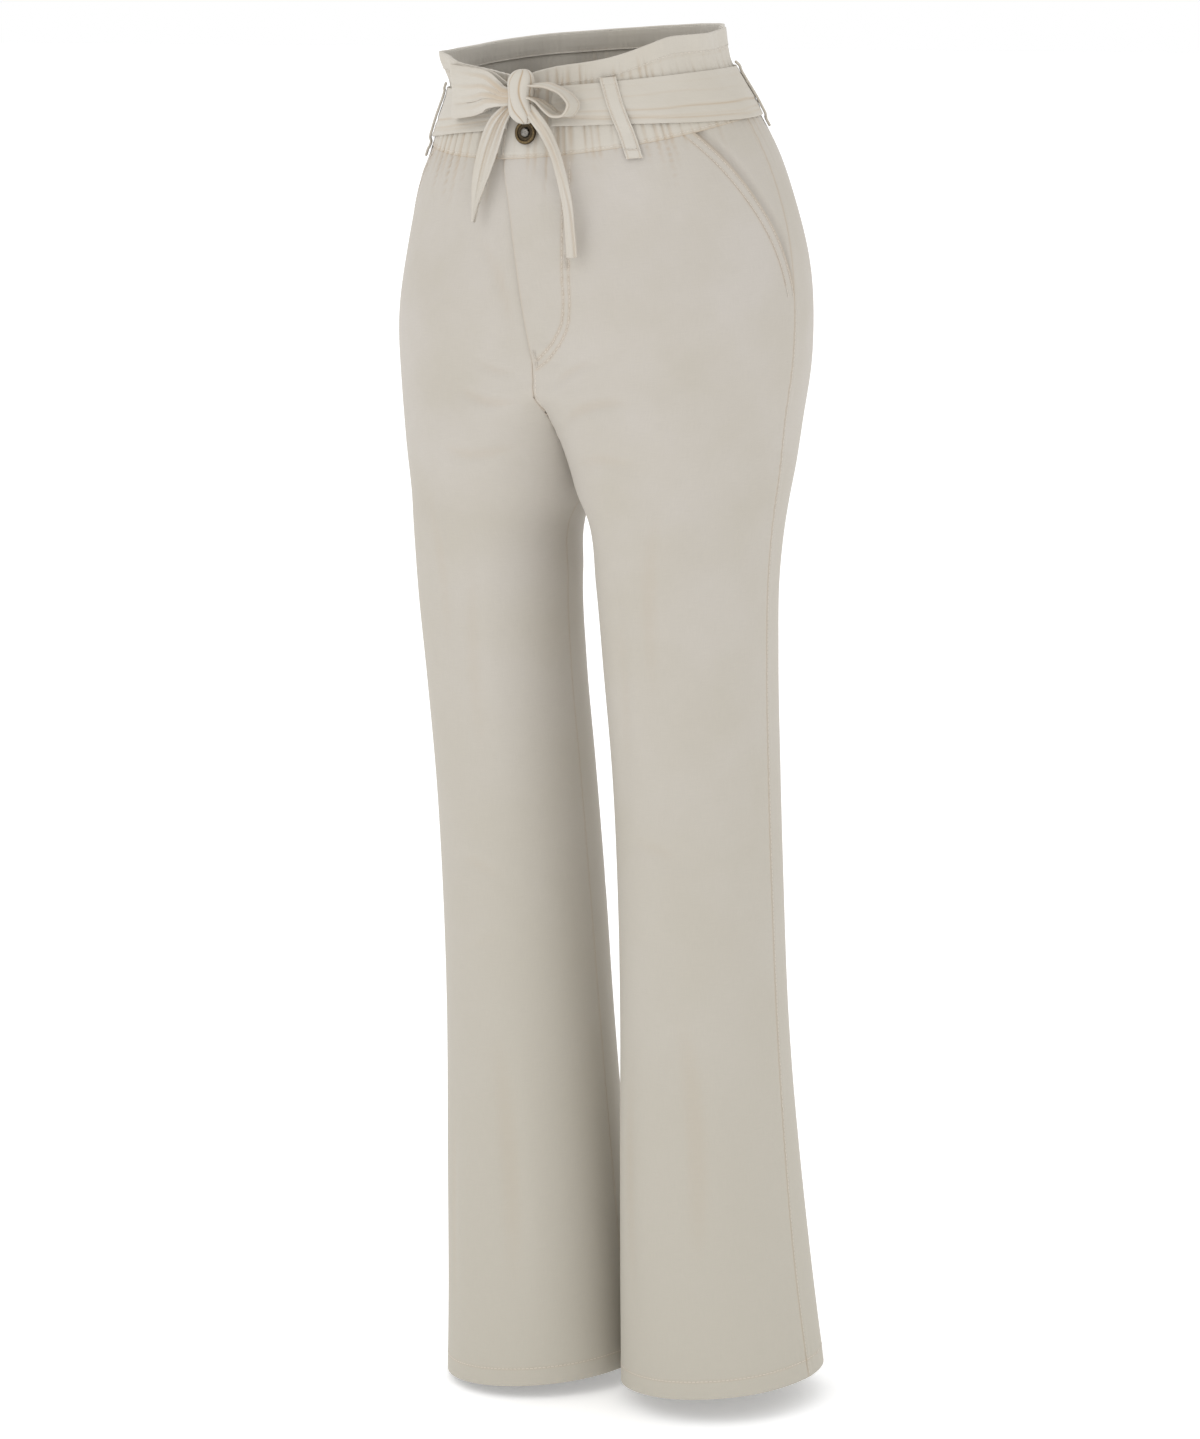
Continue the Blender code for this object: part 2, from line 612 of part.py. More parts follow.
def turned(profile, around=24):
    """The rings of a profile turned about the button's axis."""
    seat, out, up, aside = button_frame()
    angle = np.linspace(0.0, 2 * math.pi, around, endpoint=False)
    rings = []
    for share, rise in profile:
        spokes = np.cos(angle)[:, None] * aside + np.sin(angle)[:, None] * up
        rings.append(seat + out * rise + BUTTON_RADIUS * share * spokes)
    return np.array(rings)


def make_button():
    rings = turned(RING_PROFILE)
    count, around = rings.shape[:2]
    faces = grid_faces(count, around, 0, wrap=True)
    for j in range(around):
        k = (j + 1) % around
        faces.append([(count - 1) * around + j, (count - 1) * around + k, k, j])
    finish("button_ring", closed_mesh("button_ring", rings.reshape(-1, 3), faces), ANTIQUE_BRASS, 0.45, 0.9)
    tube("button_centre", turned(DOME_PROFILE), colour=WORN_METAL, roughness=0.35, metallic=0.9)


def main():
    for old in list(bpy.data.objects):
        bpy.data.objects.remove(old)
    for name, side in (("left", 1), ("right", -1)):
        make_front("front_" + name, side)
        make_back("back_" + name, side)
        make_pocket_side("pocket_side_" + name, side)
    make_waistband()
    make_frill_hem()
    for name, top_bearing, bottom_bearing in LOOP_BEARINGS:
        make_belt_loop(name, top_bearing, bottom_bearing)
    make_sash()
    make_knot()
    make_ribbon("bow_loop_right", BOW_RIGHT_ROUTE, 26)
    make_ribbon("bow_loop_left", BOW_LEFT_ROUTE, 20)
    make_ribbon("sash_tail_right", TAIL_RIGHT_ROUTE, 12)
    make_ribbon("sash_tail_left", TAIL_LEFT_ROUTE, 12)
    make_button()


main()
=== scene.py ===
# %% [markdown]
# # Paperbag waist trousers
#
# Cream cotton twill, worn high, with a frill standing above a sash that is tied in a bow. This
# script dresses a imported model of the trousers: the model gives every piece its place and size, and
# here each piece is made again as fine cloth, with its seams, gathers, creases, stitches and weave.
#
# Lengths are in metres. Up is +Z, the wearer faces -Y, and +X is the wearer's left.

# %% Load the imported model
import math

import bpy
import numpy as np
from mathutils import Matrix, Vector


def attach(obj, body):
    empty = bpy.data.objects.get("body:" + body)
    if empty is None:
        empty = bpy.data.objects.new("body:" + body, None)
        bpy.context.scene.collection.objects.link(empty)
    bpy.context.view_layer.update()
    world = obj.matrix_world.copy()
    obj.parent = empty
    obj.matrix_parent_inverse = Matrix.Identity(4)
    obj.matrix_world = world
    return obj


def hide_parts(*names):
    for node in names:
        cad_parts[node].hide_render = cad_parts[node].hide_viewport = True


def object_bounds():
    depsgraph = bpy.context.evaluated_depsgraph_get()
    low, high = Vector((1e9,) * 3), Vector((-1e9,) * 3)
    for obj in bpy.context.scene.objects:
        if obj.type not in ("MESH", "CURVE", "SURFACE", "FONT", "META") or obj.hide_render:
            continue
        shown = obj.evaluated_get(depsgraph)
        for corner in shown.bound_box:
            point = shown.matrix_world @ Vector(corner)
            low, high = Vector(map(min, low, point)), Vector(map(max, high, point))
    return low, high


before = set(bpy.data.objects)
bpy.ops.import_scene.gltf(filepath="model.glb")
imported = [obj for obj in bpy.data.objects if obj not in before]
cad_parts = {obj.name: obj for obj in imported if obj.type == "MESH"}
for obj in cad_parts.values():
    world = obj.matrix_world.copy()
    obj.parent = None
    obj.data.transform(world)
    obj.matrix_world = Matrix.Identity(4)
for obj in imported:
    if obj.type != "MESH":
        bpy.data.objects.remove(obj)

cad_low, cad_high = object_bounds()
print(len(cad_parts), "pieces in the model, from", tuple(cad_low), "to", tuple(cad_high))

# %% [markdown]
# ## Camera
#
# The camera comes first, because every later choice is judged through it. It stands a little to the
# wearer's left, above the waist, and looks down along the legs with a long lens. A camera's place
# can be set by angles, but three crossed directions put into a matrix say the same with no guessing
# about the order of turns.

# %% Camera
CAMERA_BEARING = math.radians(30.4)  # from straight ahead round to the wearer's left
CAMERA_AWAY = 4.38
CAMERA_HEIGHT = 0.336
CAMERA_DOWN = math.radians(10.38)
CAMERA_ROLL = math.radians(-1.7)
CAMERA_LENS = 143.5
CAMERA_SHIFT = -0.0101


def make_camera():
    """A camera whose axes are worked out from its bearing, its tilt and its roll."""
    sin_a, cos_a = math.sin(CAMERA_BEARING), math.cos(CAMERA_BEARING)
    sin_d, cos_d = math.sin(CAMERA_DOWN), math.cos(CAMERA_DOWN)
    ahead = np.array((-sin_a * cos_d, cos_a * cos_d, -sin_d))
    level = np.array((cos_a, sin_a, 0.0))
    up = np.cross(level, ahead)
    right = level * math.cos(CAMERA_ROLL) + up * math.sin(CAMERA_ROLL)
    top = up * math.cos(CAMERA_ROLL) - level * math.sin(CAMERA_ROLL)
    place = (CAMERA_AWAY * sin_a, -CAMERA_AWAY * cos_a, CAMERA_HEIGHT)
    data = bpy.data.cameras.new("camera")
    data.sensor_width = 36.0
    data.lens = CAMERA_LENS
    data.shift_x = CAMERA_SHIFT
    data.clip_end = 50.0
    camera = bpy.data.objects.new("camera", data)
    axes = Matrix([right, top, -ahead]).transposed().to_4x4()
    camera.matrix_world = Matrix.Translation(place) @ axes
    bpy.context.scene.collection.objects.link(camera)
    bpy.context.scene.camera = camera
    return camera


camera = make_camera()
print("camera at", tuple(round(c, 3) for c in camera.location))

# %% [markdown]
# ## The worn form
#
# Trousers filled out by a body are ovals that change with height: one oval round the hips, two
# below the crotch. A short table gives the ovals at the heights where the shape turns, and smooth
# curves join its rows. One function then gives any point on the cloth from a height and a share of
# the way round, and every panel is a part of that one surface.

# %% The worn form
SEAM_TUCK = 0.00015  # how far front and back panels go past the seam between them
WAIST_TUCK = 0.0003  # how far the panels go up under the waistband
LAP = 0.0006  # gap between two pieces that lie one over the other
TWILL = 0.0015  # wall of one layer of twill
BAND = 0.0022  # wall of the waistband strip
HEM_WALL = 0.0030  # wall of the turned-up hem
HEM_DEPTH = 0.019
HEM = -0.986  # heights, from the sash's lower edge in front
CROTCH = -0.275
LEGS_START = -0.060  # below here each leg's own oval grows out of the body's
FLY_END = -0.196  # the centre front seam starts to curve under the body here
SEAT_TURN = -0.165  # the centre back seam starts to curve under the body here
HIP_LIFT = 0.06  # rise per metre towards the wearer's left, whose hip is a little higher
LEAN_BEARING = 297.0  # where the frill leans out furthest, over the wearer's right hip
LEAN_SPREAD = 30.0
LEAN_OUT = 0.0095
FRILL_EDGE = 0.0605  # height of the frill's folded edge, away from its dips
FRONT_DIP = 0.0150  # how far that edge dips across the front
V_BEARING = -6.0  # middle, half-width in degrees and depth of its V above the knot
V_WIDE = 12.0
V_DEEP = 0.0060
BACK_FALL = 0.0020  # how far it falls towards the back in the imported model
BACK_RISE = 0.0055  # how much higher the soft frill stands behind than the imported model's
WAIST_SIDE = -0.0065  # height of the waist seam at the sides
WAIST_DIP = 0.0155  # how much lower it is in front
WAIST_BACK = 0.008  # and how much higher behind

FORM_COLUMNS = ("height", "half_width", "leg_gap", "side_y", "inseam_y", "front", "back")
FORM = np.array(
    (
        (-1.000, 0.1600, 0.0020, 0.000, 0.000, 0.083, 0.086),  # hem
        (-0.900, 0.1515, 0.0060, -0.005, -0.005, 0.079, 0.082),
        (-0.800, 0.1460, 0.0105, -0.009, -0.009, 0.074, 0.077),
        (-0.700, 0.1425, 0.0150, -0.011, -0.011, 0.070, 0.072),
        (-0.600, 0.1415, 0.0185, -0.012, -0.013, 0.070, 0.071),  # knee
        (-0.500, 0.1425, 0.0205, -0.014, -0.019, 0.070, 0.071),
        (-0.420, 0.1450, 0.0205, -0.017, -0.028, 0.071, 0.073),
        (-0.350, 0.1490, 0.0185, -0.018, -0.033, 0.073, 0.076),
        (-0.300, 0.1525, 0.0140, -0.012, -0.032, 0.080, 0.085),  # thigh
        (-0.275, 0.1550, 0.0000, -0.008, -0.024, 0.087, 0.095),  # crotch
        (-0.235, 0.1590, 0.0000, -0.004, -0.012, 0.099, 0.105),
        (-0.190, 0.1645, 0.0000, 0.000, 0.000, 0.107, 0.115),
        (-0.140, 0.1665, 0.0000, 0.002, 0.002, 0.111, 0.120),  # hip
        (-0.090, 0.1610, 0.0000, 0.003, 0.003, 0.111, 0.119),
        (-0.040, 0.1470, 0.0000, 0.002, 0.002, 0.106, 0.112),
        (0.000, 0.1290, 0.0000, -0.002, -0.002, 0.096, 0.100),  # waist
        (0.035, 0.1130, 0.0000, -0.007, -0.007, 0.085, 0.089),
        (0.070, 0.1090, 0.0000, -0.010, -0.010, 0.083, 0.086),  # top of the frill
    )
)


def smoothstep(low, high, value):
    """0 below low, 1 above high, and an S-shaped curve between them."""
    share = np.clip((value - low) / (high - low), 0.0, 1.0)
    return share * share * (3.0 - 2.0 * share)


def bell(value, width=1.0):
    """1 at 0, falling to 1/e at the width on each side: exp of less the squared share."""
    return np.exp(-((value / width) ** 2))


def form(height):
    """The table's columns at a height: a cubic between two rows, with each row's own slope."""
    rows, values = FORM[:, 0], FORM[:, 1:]
    slopes = np.gradient(values, rows, axis=0)
    low = np.clip(np.searchsorted(rows, height) - 1, 0, len(rows) - 2)
    step = (rows[low + 1] - rows[low])[..., None]
    t = (height - rows[low])[..., None] / step
    ends = values[low] * (1 + 2 * t) * (1 - t) ** 2 + values[low + 1] * t**2 * (3 - 2 * t)
    bends = slopes[low] * t * (1 - t) ** 2 - slopes[low + 1] * t**2 * (1 - t)
    columns = ends + bends * step
    return {name: columns[..., i] for i, name in enumerate(FORM_COLUMNS[1:])}


def leg_share(height):
    """How far each leg's oval is off the body's middle: 0 on the body, 1 from the crotch down."""
    down = np.clip((LEGS_START - height) / (LEGS_START - CROTCH), 0.0, 1.0)
    return down * smoothstep(-0.15, 0.35, down)


def rise_reach(height, back):
    """How far out the centre seam is, as a share of the depth: 1 on the body, 0 at the crotch."""
    top = SEAT_TURN if back else FLY_END
    up = np.clip((height - CROTCH) / (top - CROTCH), 0.0, 1.0)
    if back:
        return np.sqrt(1.0 - (1.0 - up) ** 2)
    return 1.0 - (1.0 - up**0.8) * smoothstep(-0.05, 0.25, 1.0 - up)


def form_point(height, turn, side, back):
    """A point on the outside of the cloth.

    turn runs from 0 at the side seam to 1 at the centre seam or the inseam. Up to the front of the
    leg it follows a quarter oval, and from there a curve that falls in to the centre seam, which
    below the crotch is the oval's other half. Past 1 it goes on over the other leg.
    """
    height, turn = np.broadcast_arrays(np.asarray(height, float), np.asarray(turn, float))
    side = np.where(turn > 1.0, -side, side)
    turn = np.where(turn > 1.0, 2.0 - turn, turn)
    at = form(height)
    above = height > CROTCH
    share = np.maximum(leg_share(height), 1e-6)
    gap = np.maximum(at["leg_gap"], 0.0)
    centre = np.where(above, at["half_width"] * share / (1 + share), (at["half_width"] + gap) / 2)
    outer = at["half_width"] - centre
    inner = np.where(above, centre, outer)
    angle = turn * (1 + share) * math.pi / 2
    inward = np.sin(np.clip((angle - math.pi / 2) / share, 0.0, math.pi / 2))
    x = np.where(angle < math.pi / 2, centre + outer * np.cos(angle), centre - inner * inward)
    sunk = 1.0 - rise_reach(height, back)
    fall = (1.0 - sunk) * inward**2.5 + sunk * (1.0 - np.sqrt(1.0 - inward**2))
    depth = np.where(angle < math.pi / 2, np.sin(angle), 1.0 - sunk * fall)
    across = np.where(angle < math.pi / 2, np.cos(angle), -inward)
    seam_y = at["side_y"] * (1 + across) / 2 + at["inseam_y"] * (1 - across) / 2
    facing = 1.0 if back else -1.0
    y = seam_y + facing * (at["back" if back else "front"] * depth - SEAM_TUCK)
    x = side * x
    return np.stack((x, y, height + HIP_LIFT * x), axis=-1)


def form_normal(height, turn, side, back):
    """The outward direction of the form: the cross product of a step up and a step round."""
    step = 0.0005
    height, turn = np.broadcast_arrays(np.asarray(height, float), np.asarray(turn, float))
    first = np.where(turn < 0.5, turn, turn - step)
    up = form_point(height + step, turn, side, back) - form_point(height - step, turn, side, back)
    aside = form_point(height, first + step, side, back) - form_point(height, first, side, back)
    normal = np.cross(up, aside) * (-side if back else side)
    return normal / np.linalg.norm(normal, axis=-1, keepdims=True)


def run_along(points):
    """Length along each row of a grid of points, from its first column."""
    steps = np.linalg.norm(np.diff(points, axis=-2), axis=-1)
    start = np.zeros(steps.shape[:-1] + (1,))
    return np.concatenate((start, np.cumsum(steps, axis=-1)), axis=-1)


def turns_for(heights, wanted, side, back, by):
    """The turn at which each row's run from the side seam, or its x, reaches the wanted values."""
    turns = np.linspace(0.0, 1.3, 391)
    points = form_point(heights[:, None], turns[None, :], side, back)
    reached = run_along(points) if by == "run" else -side * points[..., 0]
    return np.array([np.interp(want, row, turns) for want, row in zip(wanted, reached)])


def ring_point(height, bearing, out=0.0):
    """A point on the waist, by its bearing in degrees from the centre front round to the left."""
    height, bearing, out = np.broadcast_arrays(height, np.radians(bearing), out)
    at = form(np.asarray(height, float))
    ahead = np.cos(bearing)
    reach = np.where(ahead > 0, at["front"], at["back"])
    normal = np.stack((np.sin(bearing) * reach, -ahead * at["half_width"]), axis=-1)
    normal /= np.linalg.norm(normal, axis=-1, keepdims=True)
    x = at["half_width"] * np.sin(bearing) + out * normal[..., 0]
    y = at["side_y"] - reach * ahead + out * normal[..., 1]
    return np.stack((x, y, height + HIP_LIFT * x), axis=-1)


def bearing_of(points):
    """The bearing of points on the waist or hips, undoing ring_point's ellipse."""
    height = points[..., 2] - HIP_LIFT * points[..., 0]
    at = form(height)
    ahead = at["side_y"] - points[..., 1]
    reach = np.where(ahead > 0, at["front"], at["back"])
    return np.degrees(np.arctan2(points[..., 0] / at["half_width"], ahead / reach))


def waist_seam(bearing):
    """Height of the seam under the waistband: it dips at the front and rises a little behind."""
    ahead = np.cos(np.radians(bearing))
    reach = np.abs(ahead)
    return WAIST_SIDE + np.where(ahead > 0, -WAIST_DIP * reach**1.5, WAIST_BACK * reach)


def frill_top(bearing):
    """Height of the frill's folded edge: a V above the knot, and a little higher behind."""
    ahead = np.cos(np.radians(bearing))
    off_knot = (np.mod(bearing - V_BEARING + 180.0, 360.0) - 180.0) / V_WIDE
    front_dip = FRONT_DIP * smoothstep(0.45, 1.0, ahead) + V_DEEP * bell(off_knot)
    back_rise = BACK_RISE * smoothstep(0.20, -0.85, ahead)
    return FRILL_EDGE - BACK_FALL * (1 - ahead) / 2 - front_dip + back_rise


SASH_LOW_FRONT = 0.0005
SASH_LOW_SIDE = -0.0060
SASH_TOP_FRONT = 0.0300
SASH_TOP_SIDE = 0.0325


def sash_edges(bearing):
    """Heights of the sash's lower and upper edge: it sits a little wider at the sides."""
    ahead = np.cos(np.radians(bearing))
    aside = 1.0 - ahead**2 * (ahead > 0)
    low = SASH_LOW_FRONT + (SASH_LOW_SIDE - SASH_LOW_FRONT) * aside
    top = SASH_TOP_FRONT + (SASH_TOP_SIDE - SASH_TOP_FRONT) * aside
    return low, top


print("hips", round(2 * float(form(np.array(-0.14))["half_width"]), 3), "m wide")

# %% [markdown]
# ## Cloth as a mesh
#
# Cloth has two faces and a rounded edge. A grid of points gives the outer face. Half the thickness
# goes each way from the middle of the wall, and near an edge that half shrinks along a quarter
# ellipse, so the two faces meet in a soft rim and the shell is closed with no extra strip. The grid
# needs a few rows and columns close together at its edges for that.

# %% Cloth as a mesh
RIM = (0.0, 0.00007, 0.00022, 0.00045)  # distances of the rim's rows and columns from an edge
RIM_REACH = 0.00045


def with_rims(length, fine_low, fine_high, step, count):
    """Places along a length: a rim at each end, even steps by each end, and wider steps between.

    length is a number or a column of numbers, one for each row of a grid.
    """
    length = np.atleast_1d(np.asarray(length, float))[:, None]
    low = np.concatenate((RIM, np.arange(step, fine_low, step)))
    high = np.concatenate((RIM, np.arange(step, fine_high, step)))[::-1]
    share = np.linspace(0.0, 1.0, count)[None, :]
    middle = fine_low + (length - fine_low - fine_high) * share
    start = np.broadcast_to(low, (len(length), len(low)))
    return np.hstack((start, middle, length - high))


def grid_normals(grid, towards):
    """Unit normals of a grid: the cross product of its two directions, facing the way of towards."""
    normal = np.cross(np.gradient(grid, axis=1), np.gradient(grid, axis=0))
    normal /= np.maximum(np.linalg.norm(normal, axis=-1, keepdims=True), 1e-12)
    facing = np.sign((normal * towards).sum())
    return normal * facing


def half_wall(grid, thick):
    """Half the wall at each point: full inside, and shrinking along a quarter ellipse at the edges."""
    along = run_along(grid)
    down = run_along(grid.swapaxes(0, 1)).T
    near = np.minimum(np.minimum(along, along[:, -1:] - along), np.minimum(down, down[-1:] - down))
    inside = np.clip(near / RIM_REACH, 0.0, 1.0)
    return thick / 2 * np.sqrt(1.0 - (1.0 - inside) ** 2)


def quads(number):
    """Quads of a grid of point numbers."""
    corners = (number[:-1, :-1], number[:-1, 1:], number[1:, 1:], number[1:, :-1])
    return np.stack([c.ravel() for c in corners], axis=1)


def volume_sign(points, faces):
    """1 if the faces of a closed mesh point out, and -1 if they point in."""
    a, b, c, d = (points[faces[:, i]] for i in range(4))
    total = (a * np.cross(b, c)).sum() + (a * np.cross(c, d)).sum()
    return 1 if total > 0 else -1


def new_piece(name, points, faces, material, uv=None, tint=None):
    """A mesh object from arrays of points and quads, with a UV map in metres and an attribute that holds
    painted shade on cloth and rim wear on metal.
    """
    if volume_sign(points, faces) < 0:
        faces = faces[:, ::-1]
    mesh = bpy.data.meshes.new(name)
    mesh.vertices.add(len(points))
    mesh.vertices.foreach_set("co", np.ascontiguousarray(points, np.float32).ravel())
    mesh.loops.add(faces.size)
    mesh.loops.foreach_set("vertex_index", np.ascontiguousarray(faces, np.int32).ravel())
    mesh.polygons.add(len(faces))
    mesh.polygons.foreach_set("loop_start", np.arange(0, faces.size, 4, dtype=np.int32))
    mesh.update(calc_edges=True)
    if uv is not None:
        layer = mesh.uv_layers.new(name="cloth")
        layer.data.foreach_set("uv", np.ascontiguousarray(uv[faces.ravel()], np.float32).ravel())
    if tint is not None:
        shade = mesh.attributes.new("tint", "FLOAT", "POINT")
        shade.data.foreach_set("value", np.ascontiguousarray(tint, np.float32))
    mesh.shade_smooth()
    mesh.materials.append(material)
    piece = bpy.data.objects.new(name, mesh)
    bpy.context.scene.collection.objects.link(piece)
    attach(piece, "root")
    return piece


def cloth(name, grid, towards, thick, material, uv, tint):
    """A closed cloth wall under a grid of outer points."""
    rows, columns = grid.shape[:2]
    thick = np.broadcast_to(np.asarray(thick, float), (rows, columns))
    normal = grid_normals(grid, towards)
    half = half_wall(grid, thick)[..., None]
    middle = grid - normal * thick[..., None] / 2
    inside = np.zeros((rows, columns), bool)
    inside[1:-1, 1:-1] = True
    outer = np.arange(rows * columns).reshape(rows, columns)
    inner = outer.copy()
    inner[inside] = rows * columns + np.arange(inside.sum())
    outside = (middle + normal * half).reshape(-1, 3)
    points = np.concatenate((outside, (middle - normal * half)[inside]))
    faces = np.concatenate((quads(outer), quads(inner)[:, ::-1]))
    uv = np.concatenate((uv.reshape(-1, 2), uv[inside]))
    tint = np.concatenate((tint.ravel(), tint[inside]))
    return new_piece(name, points, faces, material, uv, tint)


def uv_of(grid):
    """A UV map in metres: the run along each row, centred, and the mean run up the columns."""
    along = run_along(grid)
    up = run_along(grid.swapaxes(0, 1)).T
    return np.stack((along - along[:, -1:] / 2, up), axis=-1)


print("rim of", len(RIM), "rows")

# %% [markdown]
# ## Materials as sums
#
# A material's nodes are easier to read as sums. One small class holds a socket. Adding or
# multiplying it makes the Math node that does so, and one method makes any other node.

# %% Node sums
class Signal:
    """A socket of a material's node tree. Sums written on it add Math nodes to the tree."""

    def __init__(self, tree, socket=None):
        self.tree = tree
        self.socket = socket

    def node(self, kind, settings=None, sockets=None, output=0):
        """A node of any kind: its settings first, then its sockets' values or links."""
        made = self.tree.nodes.new("ShaderNode" + kind)
        for name, value in (settings or {}).items():
            if name == "stops":
                while len(made.color_ramp.elements) < len(value):
                    made.color_ramp.elements.new(0.5)
                for element, (place, colour) in zip(made.color_ramp.elements, value):
                    element.position = place
                    element.color = (*colour, 1.0)
            else:
                setattr(made, name, value)
        for name, value in (sockets or {}).items():
            if isinstance(value, Signal):
                self.tree.links.new(value.socket, made.inputs[name])
            else:
                made.inputs[name].default_value = value
        return Signal(self.tree, made.outputs[output])

    def math(self, operation, *values):
        """A Math node on these values."""
        return self.node("Math", {"operation": operation}, dict(enumerate(values)))

    def __add__(self, other):
        return self.math("ADD", self, other)

    def __sub__(self, other):
        return self.math("SUBTRACT", self, other)

    def __rsub__(self, other):
        return self.math("SUBTRACT", other, self)

    def __mul__(self, other):
        return self.math("MULTIPLY", self, other)

    __radd__ = __add__
    __rmul__ = __mul__

    def sine(self):
        """The sine of this signal."""
        return self.math("SINE", self)

    def noise(self, scale, detail, roughness=0.5, dimensions="3D"):
        """Noise over this vector."""
        sockets = {"Vector": self, "Scale": scale, "Detail": detail, "Roughness": roughness}
        return self.node("TexNoise", {"noise_dimensions": dimensions}, sockets)

    def ranged(self, low, high, most=1.0):
        """0 at low, most at high, and even between them."""
        return self.node("MapRange", sockets={0: self, 1: low, 2: high, 3: 0.0, 4: most})

    def bump(self, strength, distance):
        """A normal pushed about by this signal as a height."""
        return self.node("Bump", sockets={"Strength": strength, "Distance": distance, "Height": self})

    def mixed(self, start, end):
        """A colour between two, by this signal as the share of the second."""
        return self.node(
            "Mix", {"data_type": "RGBA"}, {"Factor": self, 6: start, 7: end}, output=2
        )


def new_material(name):
    """An empty material with its Principled shader, and a first signal to write sums from."""
    material = bpy.data.materials.new(name)
    material.use_nodes = True
    tree = material.node_tree
    return material, tree.nodes["Principled BSDF"], Signal(tree)


def feed(shader, socket, signal):
    """Link a signal to one of the shader's sockets."""
    signal.tree.links.new(signal.socket, shader.inputs[socket])


def settle(shader, **values):
    """Set the shader's own sockets, named with _ for a space."""
    for name, value in values.items():
        shader.inputs[name.replace("_", " ")].default_value = value


def times(colour, share):
    """A colour with its red, green and blue multiplied by a number, or by one number each."""
    return tuple(np.minimum(np.array(colour[:3]) * share, 1.0).tolist()) + (1.0,)


print("sums ready")

# %% [markdown]
# ## Cream twill
#
# Twill is woven so that each yarn passes over two and under one, one step on at every row, which
# draws fine diagonal ribs. The ribs come from a sine along the diagonal of the piece's own UV map,
# in metres, so they keep one size on every piece. Yarns are never quite even, so stretched noise
# makes some of them thicker and a little darker, and slow noise warms and cools the dye. The colour
# is painted darker towards the hems, as painted shade where the light falls off downwards. Folds,
# gathers, seams, stitch grooves and edges get a tan painted shade, which the meshes hand over as an
# attribute. The waistband, sash and bow are a copy of the same twill painted a little paler, as
# painted light that makes the waist brighter than the legs.

# %% Cream twill
RIB_PITCH = 0.00075
RIB_ANGLE = math.radians(62)  # of the ribs from level
RIB_DEPTH = 0.00005
YARN_STRETCH = (2600.0, 90.0)  # of the noise across a yarn and along it
PAINTED_SHADE_TAN = (0.42, 0.30, 0.18, 1.0)
PAINTED_HEM_SHADE = (0.955, 0.965, 0.940)  # the shade colour's share down at the hems, as painted shade where the light falls off downwards


def make_twill(name, cream, shade, rib_strength):
    """Twill: ribs by a sine on the diagonal, uneven yarns by stretched noise, painted tan shade where the
    attribute marks it, and painted shade towards the hems.
    """
    material, shader, start = new_material(name)
    uv = start.node("UVMap", {"uv_map": "cloth"})
    across = start.node("SeparateXYZ", sockets={0: uv})
    up = start.node("SeparateXYZ", sockets={0: uv}, output=1)
    turn = 2 * math.pi / RIB_PITCH
    slow = uv.noise(160.0, 1.0, dimensions="2D")
    phase = across * (turn * math.sin(RIB_ANGLE)) - up * (turn * math.cos(RIB_ANGLE)) + slow * 3.0
    rib = phase.sine() * 0.5 + 0.5
    warp, weft = (
        start.node("Mapping", sockets={"Vector": uv, "Scale": scale}).noise(1.0, 2.0, dimensions="2D")
        for scale in ((*YARN_STRETCH, 1.0), (*YARN_STRETCH[::-1], 1.0))
    )
    place = start.node("TexCoord", output=3)
    dye_and_hem_shade = place.noise(11.0, 3.0, 0.55).ranged(0.35, 0.65).mixed(cream, shade)
    height = start.node("SeparateXYZ", sockets={0: place}, output=2)
    # Painted shade: darker towards the hems, where the light falls off.
    dye_and_hem_shade = height.ranged(-0.10, -0.98).mixed(dye_and_hem_shade, times(shade, PAINTED_HEM_SHADE))
    woven = (warp + weft).ranged(0.75, 1.25, 0.16).mixed(dye_and_hem_shade, times(shade, 0.78))
    # Painted shade: the attribute mixes in tan where folds, gathers, seams and stitch grooves lie in shade.
    painted_shade = start.node("Attribute", {"attribute_name": "tint"}, output=2)
    feed(shader, "Base Color", painted_shade.mixed(woven, PAINTED_SHADE_TAN))
    feed(shader, "Roughness", 0.80 + rib * 0.08)
    feed(shader, "Normal", (rib * 0.7 + warp * 0.5 + weft * 0.4).bump(rib_strength, RIB_DEPTH))
    settle(shader, Sheen_Weight=0.12, Sheen_Roughness=0.45, Sheen_Tint=(1.0, 0.97, 0.92, 1.0))
    settle(shader, Specular_IOR_Level=0.25)
    return material


# The band's copy is painted paler than the legs': painted light, brighter at the waist than down the legs.
twill = make_twill("twill", (0.510, 0.476, 0.434, 1.0), (0.478, 0.443, 0.388, 1.0), 0.35)
sash_twill = make_twill("sash_twill", (0.556, 0.524, 0.470, 1.0), (0.527, 0.489, 0.425, 1.0), 0.30)
print("twill ribs every", RIB_PITCH * 1000, "mm")

# %% [markdown]
# ## Thread and metal
#
# The topstitching is a smooth cotton thread, a touch lighter than the cloth. The button is cast
# metal with a dark antique finish, which has worn through to brass in spots and on the high rims. Noise
# gives the spots, and an attribute that is 1 at the top of each turned shape gives the rims.

# %% Thread and metal
def make_thread(name, colour):
    """Thread: fine noise makes fibres of two close tones, a little raised."""
    material, shader, start = new_material(name)
    fibre = start.node("TexCoord", output=3).noise(1800.0, 1.0)
    feed(shader, "Base Color", fibre.mixed(colour, times(colour, 1.06)))
    feed(shader, "Normal", fibre.bump(0.4, 0.00004))
    settle(shader, Roughness=0.6, Sheen_Weight=0.2)
    return material


